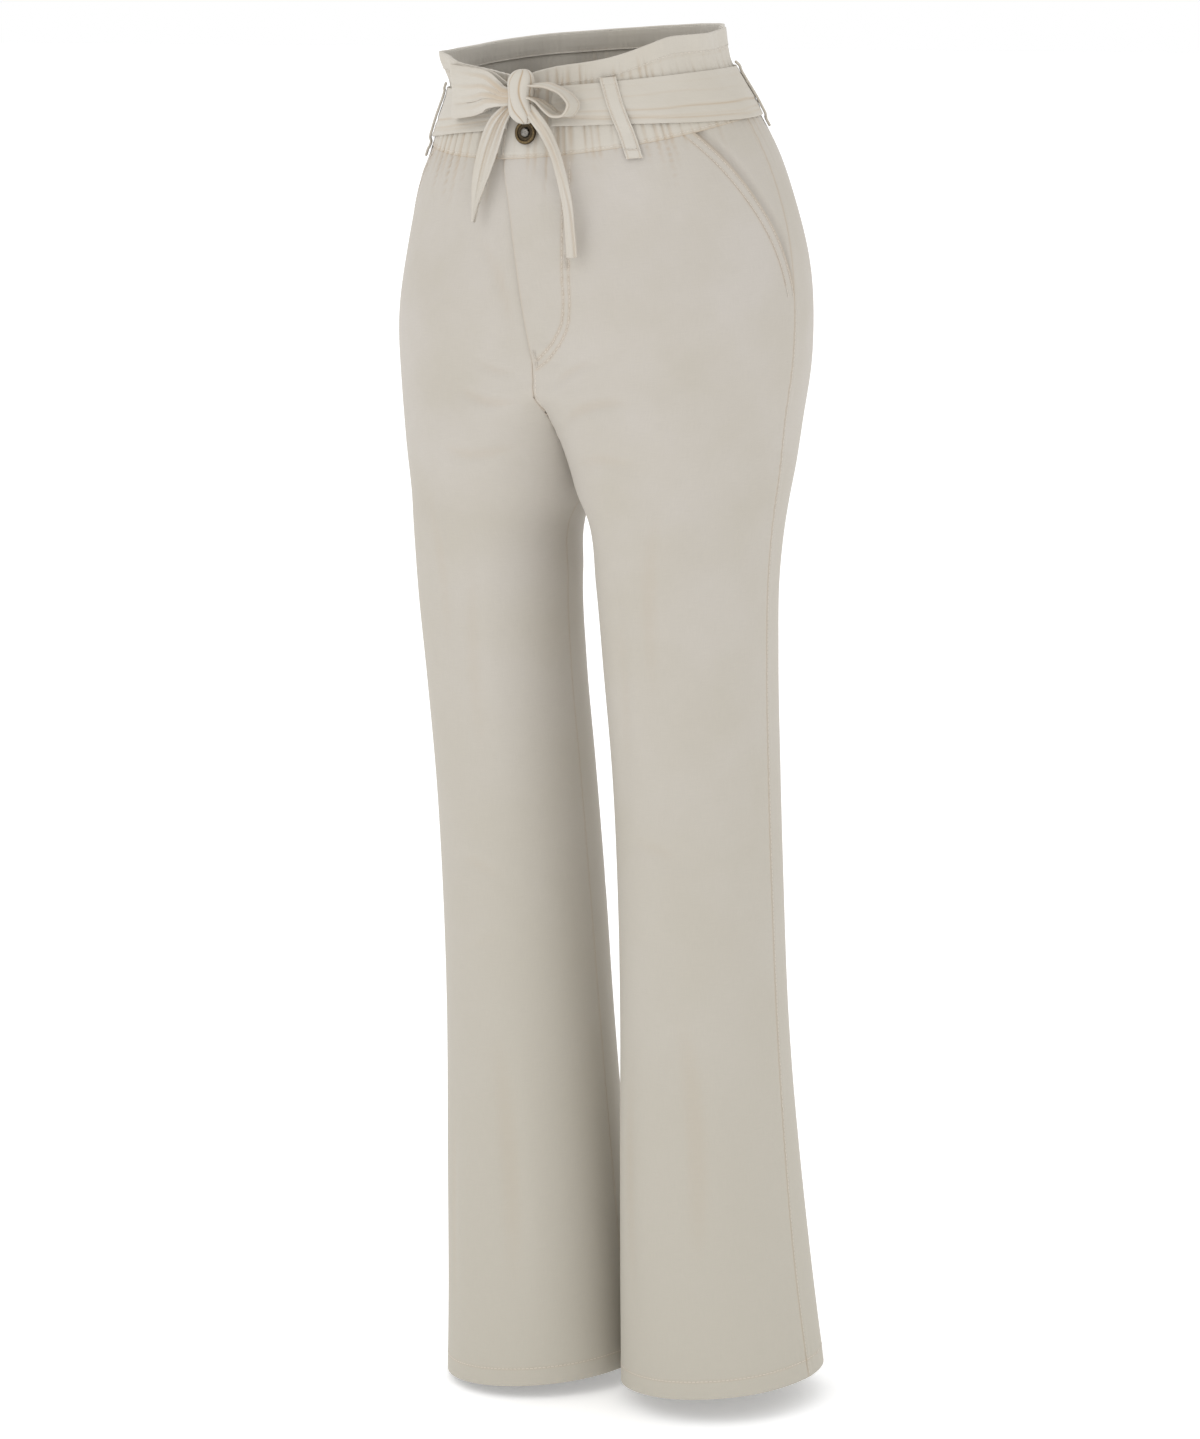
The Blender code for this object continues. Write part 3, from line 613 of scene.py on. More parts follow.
def make_metal(name, dark, bright, roughness, wear_scale, worn_range):
    """Antiqued metal: noise decides where the dark finish has rubbed through to bright metal."""
    material, shader, start = new_material(name)
    worn = start.node("TexCoord", output=3).noise(wear_scale, 5.0, 0.65)
    share = worn.ranged(*worn_range)
    high = start.node("Attribute", {"attribute_name": "tint"}, output=2)
    larger = {"operation": "MAXIMUM", "use_clamp": True}
    rubbed = start.node("Math", larger, {0: share * 0.5, 1: high * (share + 0.35)})
    feed(shader, "Base Color", rubbed.mixed(dark, bright))
    feed(shader, "Roughness", roughness - rubbed * 0.12)
    feed(shader, "Normal", worn.bump(0.5, 0.00012))
    settle(shader, Metallic=0.95)
    return material


thread = make_thread("thread", (0.600, 0.548, 0.478, 1.0))
brass = make_metal(
    "antique_brass", (0.060, 0.046, 0.030, 1.0), (0.24, 0.17, 0.08, 1.0), 0.50, 900.0, (0.50, 0.74)
)
steel = make_metal(
    "worn_metal", (0.09, 0.085, 0.075, 1.0), (0.34, 0.32, 0.29, 1.0), 0.40, 1200.0, (0.45, 0.65)
)
print("thread, antique brass and worn metal")

# %% [markdown]
# ## Gathers
#
# The frill's name comes from a paper bag pulled shut with string. The waist is cut wider than the
# wearer's and drawn in, so narrow pleats run up from the sash into the frill and down from it into
# the hips. Each pleat here is a groove at its own bearing, with its own width, depth and reach up
# and down. They are drawn from one seeded list, so that the band and the panels below it agree.

# %% Gathers
rng = np.random.default_rng(11)
PLEAT_COUNT = 104
PLEAT_LOUD = (  # bearing, spread, how much deeper the pleats are there
    (-17.0, 8.0, 1.6),
    (-38.0, 12.0, 1.3),
    (12.0, 10.0, 1.5),
    (43.0, 9.0, 0.8),
    (-70.0, 14.0, 0.6),
    (150.0, 26.0, 0.7),
    (208.0, 26.0, 0.7),
)


def wrapped(degrees):
    """An angle's difference brought into the half turn each way."""
    return np.mod(degrees + 180.0, 360.0) - 180.0


pleat_at = np.cumsum(rng.uniform(0.55, 1.45, PLEAT_COUNT))
pleat_at = pleat_at / pleat_at[-1] * 360.0
pleat_wide = rng.uniform(0.55, 1.25, PLEAT_COUNT)
pleat_up = rng.uniform(0.006, 0.018, PLEAT_COUNT)
pleat_down = rng.uniform(0.020, 0.050, PLEAT_COUNT)
pleat_deep = rng.uniform(0.25, 0.75, PLEAT_COUNT)
for at, spread, more in PLEAT_LOUD:
    pleat_deep += more * bell(wrapped(pleat_at - at), spread) * rng.uniform(0.5, 1.0, PLEAT_COUNT)
pleat_deep *= 0.0011


def gathers(height, bearing):
    """How far the pleats press the cloth in: a sum of grooves, each a bell curve across its bearing
    that fades as a bell curve above the sash and below it."""
    low, top = sash_edges(bearing)
    above = np.maximum(height - top, 0.0)
    below = np.maximum(low - height, 0.0)
    total = np.zeros(np.broadcast(height, bearing).shape)
    for at, wide, up, down, deep in zip(pleat_at, pleat_wide, pleat_up, pleat_down, pleat_deep):
        off = wrapped(bearing - at) / wide
        near = np.abs(off) < 3.0
        fade = np.exp(-((above / up) ** 2) - (below / down) ** 2)
        total += np.where(near, deep * (1.0 - 0.5 * off**2) * bell(off), 0.0) * fade
    return total


def frill_wave(height, bearing):
    """How far the frill sways in and out above the sash: four sines round the waist, and a lean."""
    angle = np.radians(bearing)
    wave = np.sin(15 * angle + 0.9 * np.sin(2 * angle + 1.0)) + 0.45 * np.sin(8 * angle + 2.2)
    fine = 0.5 * np.sin(41 * angle + 1.6 * np.sin(3 * angle))
    fine += 0.3 * np.sin(67 * angle + 2.0 * np.sin(5 * angle))
    lean = LEAN_OUT * bell(wrapped(bearing - LEAN_BEARING), LEAN_SPREAD)
    sway = (0.0013 * wave + 0.0004 * fine) * smoothstep(0.030, 0.055, height)
    return sway + lean * smoothstep(0.028, 0.058, height)


print(PLEAT_COUNT, "pleats, the deepest", round(pleat_deep.max() * 1000, 2), "mm")

# %% [markdown]
# ## Creases
#
# Worn trousers crease where the body bends them: short ones fan out from the crotch, two or three
# hang under the seat, a few cross behind the knee, and long soft ones run down the legs. Each is
# listed as a line over the form with a width and a depth, uneven as real ones are. The
# cloth sinks along the line and rises a little on both sides of it.

# %% Creases
CREASES = (  # behind, x and height at the start, x and height at the end, bend, width, depth
    (False, -0.046, -0.074, -0.014, -0.160, 0.006, 0.0070, 0.0010),  # beside the fly
    (False, -0.030, -0.060, -0.024, -0.118, 0.002, 0.0045, 0.0006),
    (False, 0.052, -0.046, 0.040, -0.110, -0.004, 0.0060, 0.0005),
    (False, 0.004, -0.158, 0.030, -0.165, 0.001, 0.0028, 0.0005),  # across the lower fly
    (False, -0.006, -0.171, 0.022, -0.174, -0.001, 0.0030, 0.0005),
    (False, -0.012, -0.182, -0.052, -0.170, 0.004, 0.0050, 0.0009),  # fanning out from the crotch
    (False, -0.010, -0.205, -0.070, -0.190, 0.006, 0.0065, 0.0012),
    (False, -0.014, -0.236, -0.088, -0.236, 0.008, 0.0080, 0.0011),
    (False, 0.014, -0.196, 0.060, -0.176, 0.005, 0.0055, 0.0009),
    (False, 0.016, -0.224, 0.086, -0.208, 0.007, 0.0075, 0.0012),
    (False, 0.020, -0.258, 0.096, -0.262, 0.010, 0.0090, 0.0009),
    (False, -0.110, -0.250, -0.094, -0.420, 0.010, 0.0120, 0.0009),  # down the thighs
    (False, 0.104, -0.270, 0.090, -0.450, -0.008, 0.0130, 0.0010),
    (False, 0.060, -0.330, 0.052, -0.520, 0.006, 0.0110, 0.0008),
    (False, -0.060, -0.300, -0.066, -0.500, -0.006, 0.0120, 0.0009),
    (False, -0.104, -0.560, -0.052, -0.585, 0.006, 0.0090, 0.0008),  # round the knees
    (False, 0.050, -0.548, 0.108, -0.570, 0.008, 0.0100, 0.0008),
    (False, 0.046, -0.610, 0.092, -0.625, -0.005, 0.0080, 0.0005),
    (False, -0.098, -0.640, -0.050, -0.622, 0.004, 0.0080, 0.0006),
    (False, 0.094, -0.660, 0.104, -0.900, 0.007, 0.0150, 0.0012),  # down the shins
    (False, 0.052, -0.690, 0.046, -0.940, -0.006, 0.0140, 0.0010),
    (False, -0.070, -0.680, -0.060, -0.930, 0.005, 0.0150, 0.0011),
    (False, -0.112, -0.740, -0.120, -0.960, -0.006, 0.0130, 0.0010),
    (True, 0.016, -0.250, 0.108, -0.266, 0.012, 0.0090, 0.0018),  # under the seat
    (True, -0.018, -0.256, -0.112, -0.270, 0.014, 0.0095, 0.0018),
    (True, 0.026, -0.292, 0.120, -0.296, 0.010, 0.0080, 0.0013),
    (True, -0.024, -0.300, -0.104, -0.318, 0.008, 0.0085, 0.0012),
    (True, 0.014, -0.196, 0.070, -0.222, 0.006, 0.0070, 0.0008),
    (True, -0.012, -0.206, -0.078, -0.238, 0.006, 0.0070, 0.0008),
    (True, 0.034, -0.548, 0.112, -0.560, 0.006, 0.0075, 0.0014),  # behind the knees
    (True, 0.030, -0.588, 0.104, -0.580, -0.005, 0.0070, 0.0012),
    (True, -0.034, -0.556, -0.110, -0.548, 0.005, 0.0080, 0.0013),
    (True, -0.030, -0.600, -0.098, -0.612, -0.006, 0.0070, 0.0012),
    (True, 0.060, -0.340, 0.078, -0.520, 0.006, 0.0130, 0.0011),  # down the backs of the legs
    (True, -0.084, -0.350, -0.070, -0.530, -0.006, 0.0130, 0.0011),
    (True, 0.090, -0.640, 0.100, -0.930, 0.006, 0.0150, 0.0013),
    (True, -0.064, -0.650, -0.058, -0.940, -0.006, 0.0150, 0.0012),
    (True, 0.048, -0.700, 0.040, -0.950, -0.004, 0.0130, 0.0009),
)
CREASE_STEPS = 26
CREASE_DEPTH = 1.6  # times the depths in the table


def crease_line(behind, x0, height0, x1, height1, bend):
    """Points along a crease: a straight line in x and height, bowed sideways as half a sine."""
    share = np.linspace(0.0, 1.0, CREASE_STEPS)
    bow = bend * np.sin(math.pi * share)
    slope = np.array((x1 - x0, height1 - height0)) / math.hypot(x1 - x0, height1 - height0)
    x = x0 + (x1 - x0) * share - slope[1] * bow
    height = height0 + (height1 - height0) * share + slope[0] * bow
    side = 1 if x0 > 0 else -1
    turn = turns_for(height, -side * x[:, None], side, behind, "x")[:, 0]
    return form_point(height, turn, side, behind)


crease_lines = [(crease_line(*row[:6]), row[6], row[7]) for row in CREASES]


def creases(points):
    """How far the creases press the cloth in: along each line a groove with low shoulders, 1 less
    twice the squared distance times a bell curve, fading to nothing at the line's ends."""
    total = np.zeros(points.shape[:-1])
    for line, wide, deep in crease_lines:
        low, high = line.min(axis=0) - 3 * wide, line.max(axis=0) + 3 * wide
        close = ((points > low) & (points < high)).all(axis=-1)
        if not close.any():
            continue
        apart = ((points[close][:, None, :] - line[None, :, :]) ** 2).sum(axis=-1)
        nearest = apart.argmin(axis=1)
        away = apart[np.arange(len(apart)), nearest] / wide**2
        fade = np.sin(math.pi * (nearest + 0.5) / CREASE_STEPS) ** 0.8
        total[close] += CREASE_DEPTH * deep * fade * (1.0 - 0.9 * away) * np.exp(-away)
    return total


def undulation(points):
    """Slow unevenness of the worn cloth: a few sines of place, longer up the leg than round it."""
    x, y, z = (points[..., i] for i in range(3))
    angle = np.arctan2(y, np.abs(x) - 0.083)
    legs = smoothstep(-0.24, -0.34, z)
    body = 0.35 * np.sin(38 * x + 21 * z + 1.0) + 0.30 * np.sin(29 * z - 44 * x + 17 * y)
    body += 0.25 * np.sin(61 * z + 30 * y)
    leg = 0.45 * np.sin(3 * angle + 9 * z + np.sign(x)) + 0.35 * np.sin(5 * angle - 13 * z + 40.0 * x)
    flare = 0.8 * np.sin(3 * angle + 2.0 * np.sign(x) + 4 * z) * smoothstep(-0.72, -0.98, z)
    return 0.0008 * ((1 - legs) * body + legs * (leg + flare))


def pucker(run, away, depth=0.00030, pitch=0.0095, reach=0.006):
    """Small waves where the stitches draw the cloth up: a sine along the seam that fades off it."""
    wave = np.sin(2 * math.pi * run / pitch + 2.4 * np.sin(run * 47.0) + 1.3 * np.sin(run * 131.0))
    uneven = 0.6 + 0.4 * np.sin(run * 23.0 + 1.0)
    return depth * wave * uneven * np.exp(-np.abs(away) / reach)


print(len(CREASES), "creases placed by hand")

# %% [markdown]
# ## Legs
#
# Each leg is a front and a back panel, sewn at the side seam, the inseam and the centre seam. The
# left front is cut wider at the centre, so that it laps over the right as the fly. Each panel here
# is the worn form between its two seams, pressed in by the gathers and creases, puckered by its
# stitching, and raised where more layers lie under it. Rows and columns lie closer together by the
# seams, at the fly and above the crotch, where the shapes are small.

# %% Leg panels
FLY_LAP = 0.021  # how far the left front goes past the middle at the waist
FLY_LAP_END = -0.168
FLY_LIFT = 0.0025
SLANT_TOP = 0.056  # from the side seam to the slant pocket's edge at the waist
SLANT_END = -0.146
POCKET_UNDER = 0.012  # how far the pocket side runs on under the front
POCKET_SINK = 0.0031  # and how deep
TOP_START = -0.066  # above here a panel's rows bend to follow the waist seam
MEAN_WAIST = -0.012  # the waist seam's middle height
FLY_STITCH = (  # x and height of the outer row of stitching that shapes the fly
    (0.0340, -0.0200),
    (0.0347, -0.0700),
    (0.0350, -0.1100),
    (0.0352, -0.1350),
    (0.0330, -0.1480),
    (0.0265, -0.1600),
    (0.0165, -0.1715),
    (0.0040, -0.1800),
)
STITCH_ROWS_APART = 0.0055
SLANT_STITCH = (0.0020, 0.0095)  # grooves' distances from the slant pocket's edge
SHADED_GATHER_DEPTHS = (0.0002, 0.0013)  # depths of gathers between which the tan painted shade comes in
SEAM_SHADE = 0.0007  # how far the tan painted shade reaches from a seam
STITCH_SINK = 0.00045


def smooth_path(points, count):
    """Rows at even shares of a curve through a few: a cubic between two, with each one's slope."""
    points = np.array(points, float)
    run = run_along(points[None, :, :3])[0]
    slopes = np.gradient(points, run, axis=0)
    at = np.linspace(0.0, run[-1], count)
    low = np.clip(np.searchsorted(run, at) - 1, 0, len(run) - 2)
    step = (run[low + 1] - run[low])[:, None]
    t = (at - run[low])[:, None] / step
    ends = points[low] * (1 + 2 * t) * (1 - t) ** 2 + points[low + 1] * t**2 * (3 - 2 * t)
    return ends + (slopes[low] * t * (1 - t) ** 2 - slopes[low + 1] * t**2 * (1 - t)) * step


def beside(path, away):
    """A flat path moved sideways, to its right, by a distance."""
    ahead = np.gradient(path, axis=0)
    ahead /= np.linalg.norm(ahead, axis=1, keepdims=True)
    return path + away * np.stack((ahead[:, 1], -ahead[:, 0]), axis=1)


fly_outer = smooth_path(FLY_STITCH, 90)
fly_inner = beside(fly_outer, STITCH_ROWS_APART)
fly_inner = fly_inner[fly_inner[:, 0] > 0.003]


def slant_length(height):
    """Length along the cloth from the side seam to the slant pocket's edge."""
    share = np.clip((height - SLANT_END) / (waist_seam(55.0) - SLANT_END), 0.0, 1.0)
    return SLANT_TOP * share**1.4


def fly_lap(height):
    """How far the left front goes past the middle: evenly more from the fly's end up to the waist."""
    return FLY_LAP * np.clip((height - FLY_LAP_END) / (waist_seam(0.0) - FLY_LAP_END), 0.0, 1.0)


def flat_distance(x, height, path):
    """Distance in x and height to the nearest point of a path, where it is near, and far elsewhere."""
    near = (np.abs(x - 0.018) < 0.04) & (height > path[:, 1].min() - 0.01)
    apart = np.full(x.shape, 1.0)
    spots = np.stack((x[near], height[near]), axis=-1)
    apart[near] = np.sqrt(((spots[:, None, :] - path[None]) ** 2).sum(axis=-1).min(axis=1))
    return apart


def fly_relief(x, height):
    """The left front over the fly: lifted where it laps, less widely under the waistband, and
    grooved along its two rows of stitching."""
    held = smoothstep(-0.048, -0.026, height)
    lift = FLY_LIFT * smoothstep(0.032 - 0.018 * held, 0.010 - 0.008 * held, x)
    lift = lift * smoothstep(FLY_LAP_END - 0.012, FLY_LAP_END + 0.004, height)
    outer, inner = flat_distance(x, height, fly_outer), flat_distance(x, height, fly_inner)
    groove = bell(outer, 0.0012) + bell(inner, 0.0012)
    waves = np.sin(2 * math.pi * height / 0.0072 + 1.5 * np.sin(90 * height))
    drawn = 0.00040 * waves * np.exp(-((inner + outer) / 0.012))
    return lift - STITCH_SINK * groove + drawn, np.clip(groove, 0.0, 1.0)


def panel_rows():
    """Nominal heights of a panel's rows below TOP_START, closest at the hem and above the crotch."""
    hem = HEM + np.concatenate((RIM, np.arange(0.0015, 0.026, 0.0014)))
    leg = np.arange(HEM + 0.029, -0.315, 0.0042)
    rise = np.arange(-0.312, TOP_START - 0.001, 0.0024)
    return np.concatenate((hem, leg, rise))


def top_rows():
    """Shares of the way from TOP_START to the waist seam, with a rim at the seam."""
    return np.concatenate((np.linspace(0.0, 0.985, 24), 1.0 - np.array(RIM)[::-1] / 0.055))


def panel_grid(side, back, low_edge, high_edge, fine_low, fine_high, count):
    """Heights, turns and runs from the side seam of a panel between two edges."""
    rows, shares = panel_rows(), top_rows()
    nominal = np.concatenate((rows, TOP_START + (MEAN_WAIST - TOP_START) * shares))
    low, high = low_edge(nominal), high_edge(nominal)
    wide = with_rims(high - low, fine_low, fine_high, 0.0016, count)
    run = low[:, None] + wide
    turn = turns_for(nominal, run, side, back, "run")
    bearing = 90.0 + 90.0 * turn if back else 90.0 - 90.0 * turn
    seam = waist_seam(bearing) + WAIST_TUCK
    share = np.concatenate((np.zeros(len(rows)), shares))[:, None]
    start = np.minimum(nominal, TOP_START)[:, None]
    return start + (seam - start) * share, turn, run


def centre_run(side, back, lapped):
    """A function of height that gives the run from the side seam to the centre seam or the lap."""

    def run_at(heights):
        """The whole run of each row, on its way from the side seam to its end."""
        turns = np.ones((len(heights), 1))
        if lapped:
            reached = turns_for(heights, fly_lap(heights)[:, None], side, back, "x")
            turns = np.where(heights[:, None] > FLY_LAP_END, reached, 1.0)
        steps = np.linspace(0.0, 1.0, 301)[None, :] * turns
        return run_along(form_point(heights[:, None], steps, side, back))[:, -1]

    return run_at


def placed(height, turn, side, back):
    """Points of the form and their outward directions, level near the waist as the band's are."""
    outward = form_normal(height, turn, side, back)
    outward[..., 2] *= smoothstep(-0.025, -0.070, height)
    outward /= np.linalg.norm(outward, axis=-1, keepdims=True)
    return form_point(height, turn, side, back), outward


def press(points, height, away_low, away_high, back):
    """How far the worn cloth lies off the form at these points, and how much of that is gathers."""
    hips = height > -0.13
    drawn = np.zeros(height.shape)
    bearing = bearing_of(points[hips])
    under = waist_seam(bearing) - height[hips]
    uneven = 0.5 + 0.5 * np.sin(bearing * 2.6 + 2.0 * np.sin(bearing * 0.31))
    drawn[hips] = gathers(height[hips], bearing) + 0.00045 * uneven * np.exp(-under / 0.007)
    side_seam = pucker(height, away_low) + 0.0004 * bell(away_low - 0.004, 0.003)
    centre_seam = pucker(height, away_high, 0.00038 if back else 0.00032, 0.0110)
    round_leg = np.arctan2(points[..., 1], np.abs(points[..., 0]) - 0.08) * 0.075
    hem = pucker(round_leg, height - HEM - 0.015, 0.00035, 0.011, 0.008)
    return undulation(points) - drawn - creases(points) + side_seam + centre_seam + hem, drawn


def make_panel(name, side, back):
    """One leg panel: the form between two seams, pressed into folds and given its wall."""
    lapped = side > 0 and not back
    slant = np.zeros_like if back else slant_length
    fine_centre = 0.048 if lapped else 0.015
    columns = 38 if lapped else 46
    edge = centre_run(side, back, lapped)
    height, turn, run = panel_grid(side, back, slant, edge, 0.014, fine_centre, columns)
    points, outward = placed(height, turn, side, back)
    away_low, away_high = run - run[:, :1], run[:, -1:] - run
    worn, drawn = press(points, height, run, away_high, back)
    # Painted shade: tan in the gathers and creases, by both seams, along the hem's stitching and in the
    # stitch grooves below.
    tint = 0.42 * smoothstep(*SHADED_GATHER_DEPTHS, drawn) + 0.10 * smoothstep(0.0005, 0.0018, creases(points))
    tint += 0.45 * np.exp(-away_low / SEAM_SHADE) + 0.35 * np.exp(-away_high / SEAM_SHADE)
    tint += 0.22 * bell(height - HEM - 0.0145, 0.0008)
    if lapped:
        relief, groove = fly_relief(points[..., 0], height)
        worn = worn + relief
        tint += 0.38 * groove
    if not back:
        on_slant = (slant_length(height[:, :1]) > 0.002) & (height > SLANT_END)
        stitched = sum(bell(away_low - row, 0.0011) for row in SLANT_STITCH)
        raised = 0.0004 * smoothstep(0.0125, 0.0085, away_low) - STITCH_SINK * stitched
        worn = worn + np.where(on_slant, raised, 0.0)
        tint += np.where(on_slant, 0.28 * stitched, 0.0)
    grid = points + outward * worn[..., None]
    thick = np.where(height < HEM + HEM_DEPTH, HEM_WALL, TWILL)
    middle = height[:, height.shape[1] // 2, None]
    uv = np.stack((run * side, np.broadcast_to(middle, run.shape)), axis=-1)
    piece = cloth(name, grid, outward, thick, twill, uv, np.clip(tint, 0.0, 1.0))
    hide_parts(name.replace("leg_", ""))
    return piece


for side_name, side in (("left", 1), ("right", -1)):
    for face, back in (("front", False), ("back", True)):
        made = make_panel("leg_" + face + "_" + side_name, side, back)
        print(made.name, len(made.data.polygons), "faces")

# %% [markdown]
# ## Pocket sides
#
# A slant pocket's opening is the front panel's own edge, cut at a slant and stitched twice. Behind
# it a piece of the same twill fills the corner at the hip and runs on under the front, a little
# deeper, so that the edge stands clear and a hand can slip in.

# %% Pocket sides
def make_pocket_side(name, side):
    """The hip piece: the form from the side seam on under the slant edge, sunk where it is under it."""
    rows = np.concatenate((np.array(RIM), np.arange(0.002, 0.078, 0.0022))) + SLANT_END + 0.0005
    shares = top_rows()
    nominal = np.concatenate((rows[rows < TOP_START], TOP_START + (MEAN_WAIST - TOP_START) * shares))
    reach = slant_length(nominal) + POCKET_UNDER
    run = with_rims(reach, 0.004, 0.004, 0.0016, 26)
    turn = turns_for(nominal, run, side, False, "run")
    share = np.concatenate((np.zeros(len(nominal) - len(shares)), shares))[:, None]
    start = np.minimum(nominal, TOP_START)[:, None]
    height = start + (waist_seam(90.0 - 90.0 * turn) + WAIST_TUCK - start) * share
    points, outward = placed(height, turn, side, False)
    edge = slant_length(nominal)[:, None]
    worn, drawn = press(points, height, run, np.ones(run.shape), False)
    wide = smoothstep(0.0, 0.014, edge)
    sink = smoothstep(edge - 0.011 * wide, edge + 0.001 - 0.004 * wide, run)
    sink = np.minimum(POCKET_SINK * sink, 0.0012 * wide + 0.7 * run)
    grid = points + outward * (worn - sink)[..., None]
    # Painted shade: tan in the gathers, under the slant edge of the front and by the side seam.
    tint = 0.25 * smoothstep(0.0002, 0.0014, drawn)
    tint += 0.55 * smoothstep(edge - 0.0035, edge + 0.001, run) * (0.4 + 0.6 * wide)
    tint += 0.45 * np.exp(-run / SEAM_SHADE)
    uv = np.stack((run * side, np.broadcast_to(nominal[:, None], run.shape)), axis=-1)
    piece = cloth(name, grid, outward, TWILL, twill, uv, np.clip(tint, 0.0, 1.0))
    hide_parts(name.replace("hip_", ""))


for side_name, side in (("left", 1), ("right", -1)):
    make_pocket_side("hip_pocket_side_" + side_name, side)
print("pocket sides made")

# %% [markdown]
# ## Waistband and frill
#
# One strip, folded double, is both: it is sewn to the panels at the waist seam, runs up under the
# sash and stands free above it as the frill. Its left end laps over its right at the front, under
# the button. The top is turned in and stitched down, which shows as a band inside the back.

# %% Waistband and frill
BAND_START = -10.0  # bearings of the strip's two ends
BAND_END = 359.9
BAND_LAP_CLEAR = 6.0  # bearing by which the upper end has come down to the ring
FRILL_HEM_DEPTH = 0.016
BAND_COLUMNS = 620
WAIST_RADIUS = 0.11


def band_relief(height, bearing):
    """The strip off its ring: the frill's sway, less the gathers, less a groove under each stitching."""
    rows = bell(height - frill_top(bearing) + FRILL_HEM_DEPTH - 0.0008, 0.0011)
    rows += bell(height - waist_seam(bearing) - 0.0022, 0.0011)
    drawn = gathers(height, bearing)
    return frill_wave(height, bearing) - drawn - STITCH_SINK * rows, drawn + 0.0005 * rows


def band_lift(bearing):
    """How far the strip's upper end is off the ring, over the lower end and a layer's gap."""
    return (BAND + LAP) * smoothstep(BAND_LAP_CLEAR, 1.0, bearing)


def rim_bearings(start, end, count):
    """Even bearings with a rim's close ones at both ends."""
    rim = np.degrees(np.array(RIM) / WAIST_RADIUS)
    return np.concatenate((start + rim, np.linspace(start + 0.8, end - 0.8, count), end - rim[::-1]))


def band_shares(length, count):
    """Even shares of a strip's width with a rim's close ones at both edges."""
    rim = np.array(RIM) / length
    return np.concatenate((rim, np.linspace(0.02, 0.98, count), 1.0 - rim[::-1]))


def ring_strip(height, bearing, out, facing=1):
    """A grid of points off the waist's ring, and the way that the strip's outside faces there."""
    towards = ring_point(height, bearing, 0.01 * facing) - ring_point(height, bearing)
    return ring_point(height, bearing, out), towards


def make_waistband():
    """The ring from the waist seam to the frill's edge, lifted where its left end laps over."""
    bearing = rim_bearings(BAND_START, BAND_END, BAND_COLUMNS)[None, :]
    share = band_shares(0.07, 46)[:, None]
    low, top = waist_seam(bearing), frill_top(bearing)
    height = low + (top - low) * share
    bearing = np.broadcast_to(bearing, height.shape)
    worn, drawn = band_relief(height, bearing)
    grid, towards = ring_strip(height, bearing, worn + band_lift(bearing))
    # Painted shade: tan in the gathers and along the waist seam.
    tint = 0.34 * smoothstep(*SHADED_GATHER_DEPTHS, drawn) + 0.5 * np.exp(-(height - low) / 0.0008)
    tint = np.clip(tint, 0.0, 1.0)
    piece = cloth("waistband_and_frill", grid, towards, BAND, sash_twill, uv_of(grid), tint)
    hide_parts("waistband")


def make_frill_hem():
    """The turned-in top of the frill: a ring inside the strip that comes out to it at the fold."""
    bearing = rim_bearings(4.0, 356.0, BAND_COLUMNS)[None, :]
    share = band_shares(0.016, 12)[:, None]
    top = frill_top(bearing) - 0.0008
    height = top - FRILL_HEM_DEPTH * (1.0 - share)
    bearing = np.broadcast_to(bearing, height.shape)
    worn, drawn = band_relief(height, bearing)
    share = np.broadcast_to(share, height.shape)
    close = LAP * (smoothstep(0.70, 0.98, share) + smoothstep(0.30, 0.12, share))
    inside = BAND + LAP - close + (BAND + LAP) * smoothstep(12.0, 6.0, bearing)
    roll = 0.0003 * np.sin(bearing * 1.9 + 2 * np.sin(bearing * 0.37))
    grid, towards = ring_strip(height, bearing, worn - inside - TWILL + roll * (1 - share), -1)
    # Painted shade: tan in the gathers.
    tint = 0.3 * smoothstep(*SHADED_GATHER_DEPTHS, drawn)
    piece = cloth("frill_turned_in", grid, towards, TWILL, sash_twill, uv_of(grid), tint)
    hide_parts("frill_hem")


make_waistband()
make_frill_hem()
print("waistband and frill made")

# %% [markdown]
# ## Sash and belt loops
#
# The sash is a wide strip of the twill folded lengthwise, and its folds show as fine level lines in
# its lower third. It lies on the waistband, under five narrow belt loops. A loop is sewn down below
# the waist seam and above the sash, and stands off where the sash passes under it. Two rows of
# stitching press a groove along each loop, and a bar of close stitches holds each end.

# %% Sash and belt loops
SASH_FROM = 8.5
SASH_TO = 351.5
SASH_WALL = 0.0024
SASH_FOLDS = (  # share of the way up, depth of the line, how far it wanders
    (0.11, 0.00042, 0.012),
    (0.18, 0.00036, 0.016),
    (0.33, 0.00055, 0.020),
    (0.62, 0.00016, 0.030),
    (0.86, 0.00012, 0.020),
)
LOOP_WIDTH = 0.013
LOOP_WALL = 0.0016
LOOP_CROWN = 0.0004
LOOP_SHAPE = (  # which edge the row is measured from, distance up from it, distance off the strip
    ("end", 0.0, 0.0008),
    ("sash_low", -0.0040, 0.0008),
    ("sash_low", -0.0008, 0.0025),
    ("sash_low", 0.0070, 0.0031),
    ("sash_top", -0.0070, 0.0031),
    ("sash_top", 0.0008, 0.0025),
    ("sash_top", 0.0035, 0.0010),
)
LOOP_BEARINGS = (  # name, bearing at the top, bearing at the bottom
    ("belt_loop_front_left", 30.5, 35.0),
    ("belt_loop_side_left", 113.0, 113.5),
    ("belt_loop_back", 179.3, 180.4),
    ("belt_loop_side_right", 243.0, 242.5),
    ("belt_loop_front_right", 295.0, 293.5),
)
LOOP_ROWS = 84
LOOP_BELOW_EDGE = 0.009
LOOP_STITCH_IN = 0.0019  # from a loop's edge to its row of stitching


